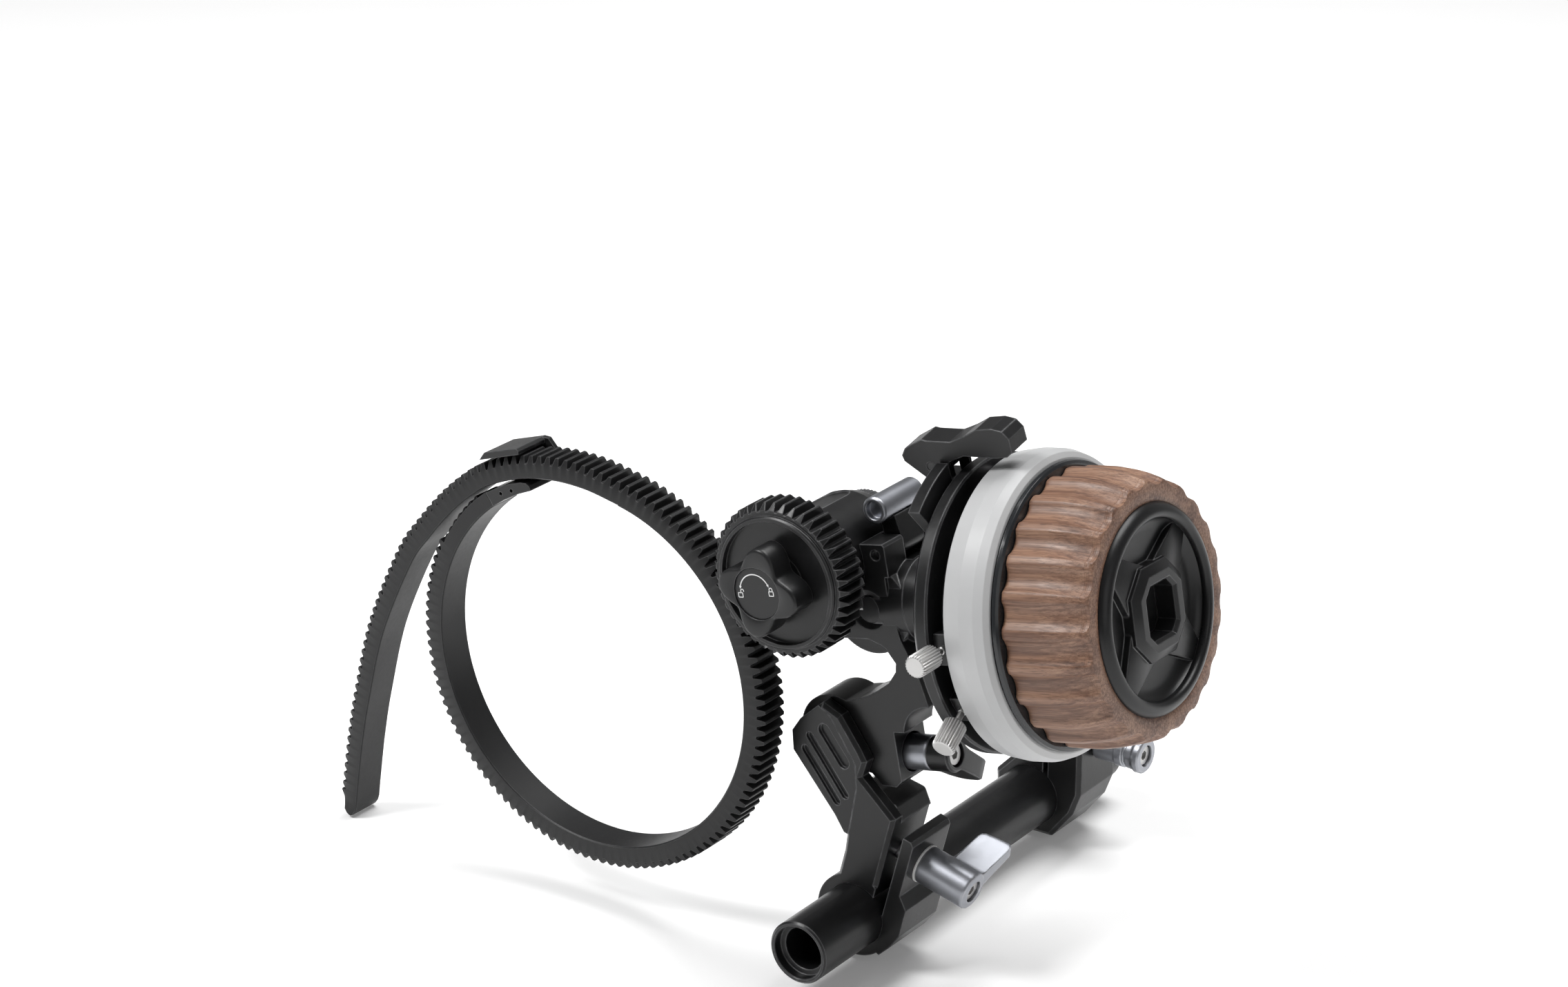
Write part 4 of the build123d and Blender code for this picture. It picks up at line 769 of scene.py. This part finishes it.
hub = lever(
    "pivot_lever_hub",
    PIVOT_LEVER,
    [(0, 3.8), (0.35, 4.1), (8.4, 4.1), (8.8, 3.9)],
    [(8.8, 2.7), (7.0, 2.62), (7.0, 1.4), (6.05, 1.4), (6.05, 2.2), (0, 2.2)],
)
dressed(hub, "pivot_lever", "grey_metal", FINISHES["grey_metal"], "pivot_lever")
black_wing = lever(
    "pivot_lever_wing",
    PIVOT_LEVER,
    [(4.9, 3.4), (8.75, 3.4), (8.85, 4.1), (14.1, 4.1), (14.6, 3.6)],
    [(14.6, 2.9), (8.9, 2.9), (4.9, 2.9)],
    [(5.0, 6.3), (6.5, 11.3), (7.6, 12.9), (9.0, 13.8), (10.5, 14.0), (12.4, 13.9), (13.6, 13.0),
     (14.1, 12.3), (14.4, 9.0)],
    half=2.5,
)
dressed(black_wing, "pivot_lever", "black_plastic", FINISHES["black_metal"])


# ---------------------------------------------------------------- lens belt

PITCH_R = BELT_TEETH * MODULE / 2
TIP_R, ROOT_R, INNER_R = PITCH_R + MODULE, PITCH_R - 1.25 * MODULE, 43.6
TOOTH = TIP_R - ROOT_R
STEP = 2 * math.pi / BELT_TEETH
THICK = 5.4
BELT_FRONT, BELT_BACK = 2.5, 11.5
# angles about the lens axis, in degrees: the strap's hidden start and its next station, the end of the lower
# teeth that lie under the lifted strap, and the limit of the last tooth, on the second time past 80
START, START_EDGE, LOW_UNTIL, LAST = 128, 129.5, 152, 440
LOWERED = 1.0
# the strap's lift over its own start, as (radius, angle), then its free tail as (x, z)
LIFT = ((49.9, 90), (51.0, 102), (52.3, 114), (53.6, 125))
TAIL = [
    (-36.6, 39.9), (-43.3, 33.9), (-50.6, 25.6), (-57.3, 16.4), (-67.0, -4.0), (-72.6, -23.5), (-75.6, -37.0),
    (-77.9, -51.0), (-78.8, -57.8),
]
# one tooth: share of the pitch, height of the tooth there, and how far its ends are bevelled in
TOOTH_SHAPE = np.array([(0.04, 0, 0), (0.14, 0.03, 0), (0.19, 0.3, 0.25), (0.33, 0.94, 0.95), (0.38, 1, 1),
                        (0.62, 1, 1), (0.67, 0.94, 0.95), (0.81, 0.3, 0.25), (0.86, 0.03, 0), (0.96, 0, 0)])
# the tail's end, without teeth: distance from its tip, depth of the outer face, bevel share, and thickness
PLAIN_END = 6.5
TAIL_END = np.array([(6.3, 0.3, 0.3, THICK), (6.0, 0.4, 0.3, THICK), (4.6, 1.4, 0.2, THICK),
                     (3.0, 1.6, 0.2, THICK), (1.6, 1.75, 0.2, 5.1), (1.2, 1.8, 0.2, 4.9),
                     (0.3, 2.6, 0.2, 4.3), (0.0, 3.3, 0.2, 3.8)])


def through(points, shares):
    """Places on a smooth curve through the points, at shares of its length, and that length. The curve is a
    cubic between each pair, whose slope at a point is half the step from the one before to the one after."""
    fine_steps = 1200
    points = np.array(points, float)
    slope = np.gradient(points, axis=0)
    t = np.linspace(0, len(points) - 1, fine_steps)
    k = np.minimum(t.astype(int), len(points) - 2)
    f = (t - k)[:, None]
    fine = (
        points[k] * (1 + 2 * f) * (1 - f) ** 2 + slope[k] * f * (1 - f) ** 2
        + points[k + 1] * f**2 * (3 - 2 * f) + slope[k + 1] * f**2 * (f - 1)
    )
    run = np.concatenate([[0], np.cumsum(np.hypot(*np.diff(fine, axis=0).T))])
    here = np.asarray(shares) * run[-1]
    return np.stack([np.interp(here, run, fine[:, 0]), np.interp(here, run, fine[:, 1])], 1), run[-1]


def on_lens(spots):
    """Points (x, z) about the lens axis, from radii and angles in degrees."""
    return [(r * math.cos(math.radians(a)), r * math.sin(math.radians(a))) for r, a in spots]


def strap_round_lens():
    """The strap's toothed circle, from its hidden start to the parting under the tail: the directions of its
    stations, the tooth's height and bevel at each, and the angle of the parting. A station is a tooth's
    number plus a share of the pitch."""
    first = math.radians(MESH_ANGLE) - math.pi + STEP / 2
    low = int((math.radians(START) - first) / STEP) + 2
    high = int((math.radians(LAST) - first) / STEP)
    parting = math.degrees(first + (high - 0.5) * STEP) - 360
    cell = (np.arange(low, high)[:, None] + TOOTH_SHAPE[None, :, 0] - 0.5).ravel()
    angle = first + cell * STEP
    lowered = np.where(angle < math.radians(LOW_UNTIL), LOWERED, 0.0)
    height = np.tile(TOOTH_SHAPE[:, 1], high - low) * (TOOTH - lowered)
    bevel = np.tile(TOOTH_SHAPE[:, 2], high - low)
    turn = np.concatenate([np.radians([START, START_EDGE]), angle])
    height, bevel = np.concatenate([[0, 0], height]), np.concatenate([[0, 0], bevel])
    return np.stack([np.cos(turn), np.sin(turn)], 1), height, bevel, parting


def belt():
    """Toothed strap: a cross-section of eight corners carried along the line of the tooth tips, once round
    the lens, up over its own end and down the free tail. At each station the outer corners sink by the
    tooth's hollow, and a tooth's two ends are bevelled."""
    radial, height, bevel, parting = strap_round_lens()
    line = on_lens([(TIP_R, parting), *LIFT]) + TAIL
    _, length = through(line, [0])
    toothed = 1 - PLAIN_END / length
    count = int(toothed * length / (math.pi * MODULE))
    share = ((np.arange(count)[:, None] + TOOTH_SHAPE[None, :, 0]) / count * toothed).ravel()
    back, end_depth, end_bevel, end_thick = TAIL_END.T
    share = np.concatenate([share, 1 - back / length])
    depth = np.concatenate([TOOTH * (1 - np.tile(TOOTH_SHAPE[:, 1], count)), end_depth])[:, None]
    thick = np.concatenate([np.full(count * len(TOOTH_SHAPE), THICK), end_thick])[:, None]
    bevel = np.concatenate([bevel, np.tile(TOOTH_SHAPE[:, 2], count), end_bevel])
    nearby = 0.002
    spot, _ = through(line, share)
    ahead, _ = through(line, np.minimum(share + nearby, 1))
    behind, _ = through(line, share - nearby)
    run = ahead - behind
    run /= np.linalg.norm(run, axis=1, keepdims=True)
    inward = np.stack([-run[:, 1], run[:, 0]], 1)
    out = np.vstack([radial * (ROOT_R + height)[:, None], spot + inward * depth])
    root = np.vstack([radial * ROOT_R, spot + inward * np.maximum(depth, TOOTH)])
    base = np.vstack([radial * INNER_R, spot + inward * thick])
    edge = base + (root - base) * 0.08
    slant, inner_bevel = 0.85 * bevel, 0.3
    front, back = np.full(len(out), BELT_FRONT), np.full(len(out), BELT_BACK)
    rings = np.stack([base, base, edge, root, out, out, root, edge], 1)
    ys = np.stack(
        [back - inner_bevel, front + inner_bevel, front, front, front + slant, back - slant, back, back], 1
    )
    points = put(LENS, rings[..., 0], ys, rings[..., 1])
    return smooth(skin("toothed_belt", points, round_v=True, flip=True, caps=(0, -1)), 28)


dressed(belt(), "belt", "belt_rubber", FINISHES["belt_rubber"], "belt_strap")


# ---------------------------------------------------------------- finishes on the plain solids

BLACKENED = ("cross_shaft", "pointer_pin")
slots = {row["node"]: row["material_slot"] for row in frame["record"]["subparts"]}
for name, solid in frame["nodes"].items():
    for slot in solid.material_slots:
        slot.material = FINISHES["blackened_steel" if name in BLACKENED else slots[name]]


# ---------------------------------------------------------------- floor, light and camera


def sweep_floor():
    """Pale studio floor: a wide flat sheet that curves up far behind. Its height is just under the part, plus
    a rise times the square of a smooth step of depth."""
    low = cad_bounds[0][2] - 0.0005
    rise, bend_start, bend_depth = 2.5, 2.6, 2.4
    x, y = np.linspace(-4, 4, 25), np.linspace(-3, 5, 49)
    grid_x, grid_y = np.meshgrid(x, y, indexing="ij")
    height = low + rise * ease((grid_y - bend_start) / bend_depth) ** 2
    return smooth(skin("studio_floor", np.stack([grid_x, grid_y, height], -1)), 60)


floor = sweep_floor()
floor_finish, floor_tree, floor_shader = blank("pale_floor")
speckle = node(floor_tree, "ShaderNodeTexNoise", {"Scale": 40.0, "Detail": 2.0})
paper = node(
    floor_tree,
    "ShaderNodeMix",
    {0: speckle.outputs["Fac"], 6: (0.90, 0.90, 0.90, 1), 7: (0.94, 0.94, 0.94, 1)},
    data_type="RGBA",
)
link(floor_tree, paper.outputs[2], floor_shader.inputs["Base Color"])
floor_shader.inputs["Roughness"].default_value = 0.9
floor_shader.inputs["Specular IOR Level"].default_value = 0.1
floor_shader.inputs["Emission Color"].default_value = (1, 1, 1, 1)
floor_shader.inputs["Emission Strength"].default_value = 0.12
floor.data.materials.append(floor_finish)


def softbox(name, place, aim, size, power):
    """Square soft light at a place, turned to look at a point."""
    lamp = bpy.data.lights.new(name, "AREA")
    lamp.shape, lamp.size, lamp.energy = "SQUARE", size, power
    holder = bpy.data.objects.new(name, lamp)
    holder.location = place
    holder.rotation_euler = (Vector(aim) - Vector(place)).to_track_quat("-Z", "Y").to_euler()
    bpy.context.scene.collection.objects.link(holder)


middle = (0.0, -0.06, 0.03)
softbox("key_light", (-0.6, -0.72, 1.15), middle, 0.5, 15.5)
softbox("fill_light", (1.1, -0.5, 0.55), middle, 0.8, 1.4)
softbox("top_light", (0.1, 0.3, 1.25), middle, 0.8, 15)
world = bpy.data.worlds.new("studio_air")
bpy.context.scene.world = world
world.use_nodes = True
air = world.node_tree.nodes["Background"].inputs
air["Color"].default_value = (1, 1, 1, 1)
air["Strength"].default_value = 0.17

# the camera: focal length and frame width in pixels, sensor in millimetres, then its directions and its place
FOCAL_PIXELS, WIDTH_PIXELS, SENSOR = 5637, 2272, 36.0
right, up, back = (0.81956, 0.57300, 0.0), (-0.21000, 0.30037, 0.93042), (0.53313, -0.76254, 0.36650)
eye = (0.44226, -0.73748, 0.38763)
view = bpy.data.cameras.new("camera")
view.sensor_width, view.lens = SENSOR, FOCAL_PIXELS / WIDTH_PIXELS * SENSOR
view.clip_start, view.clip_end = 0.01, 20
camera = bpy.data.objects.new("camera", view)
camera.matrix_world = Matrix([*zip(right, up, back, eye), (0, 0, 0, 1)])
bpy.context.scene.collection.objects.link(camera)
bpy.context.scene.camera = camera
bpy.context.scene.view_settings.view_transform = "Standard"


# ---------------------------------------------------------------- sizes


def numbers(bounds):
    """Bounds as plain lists."""
    return [[float(v) for v in corner] for corner in bounds]
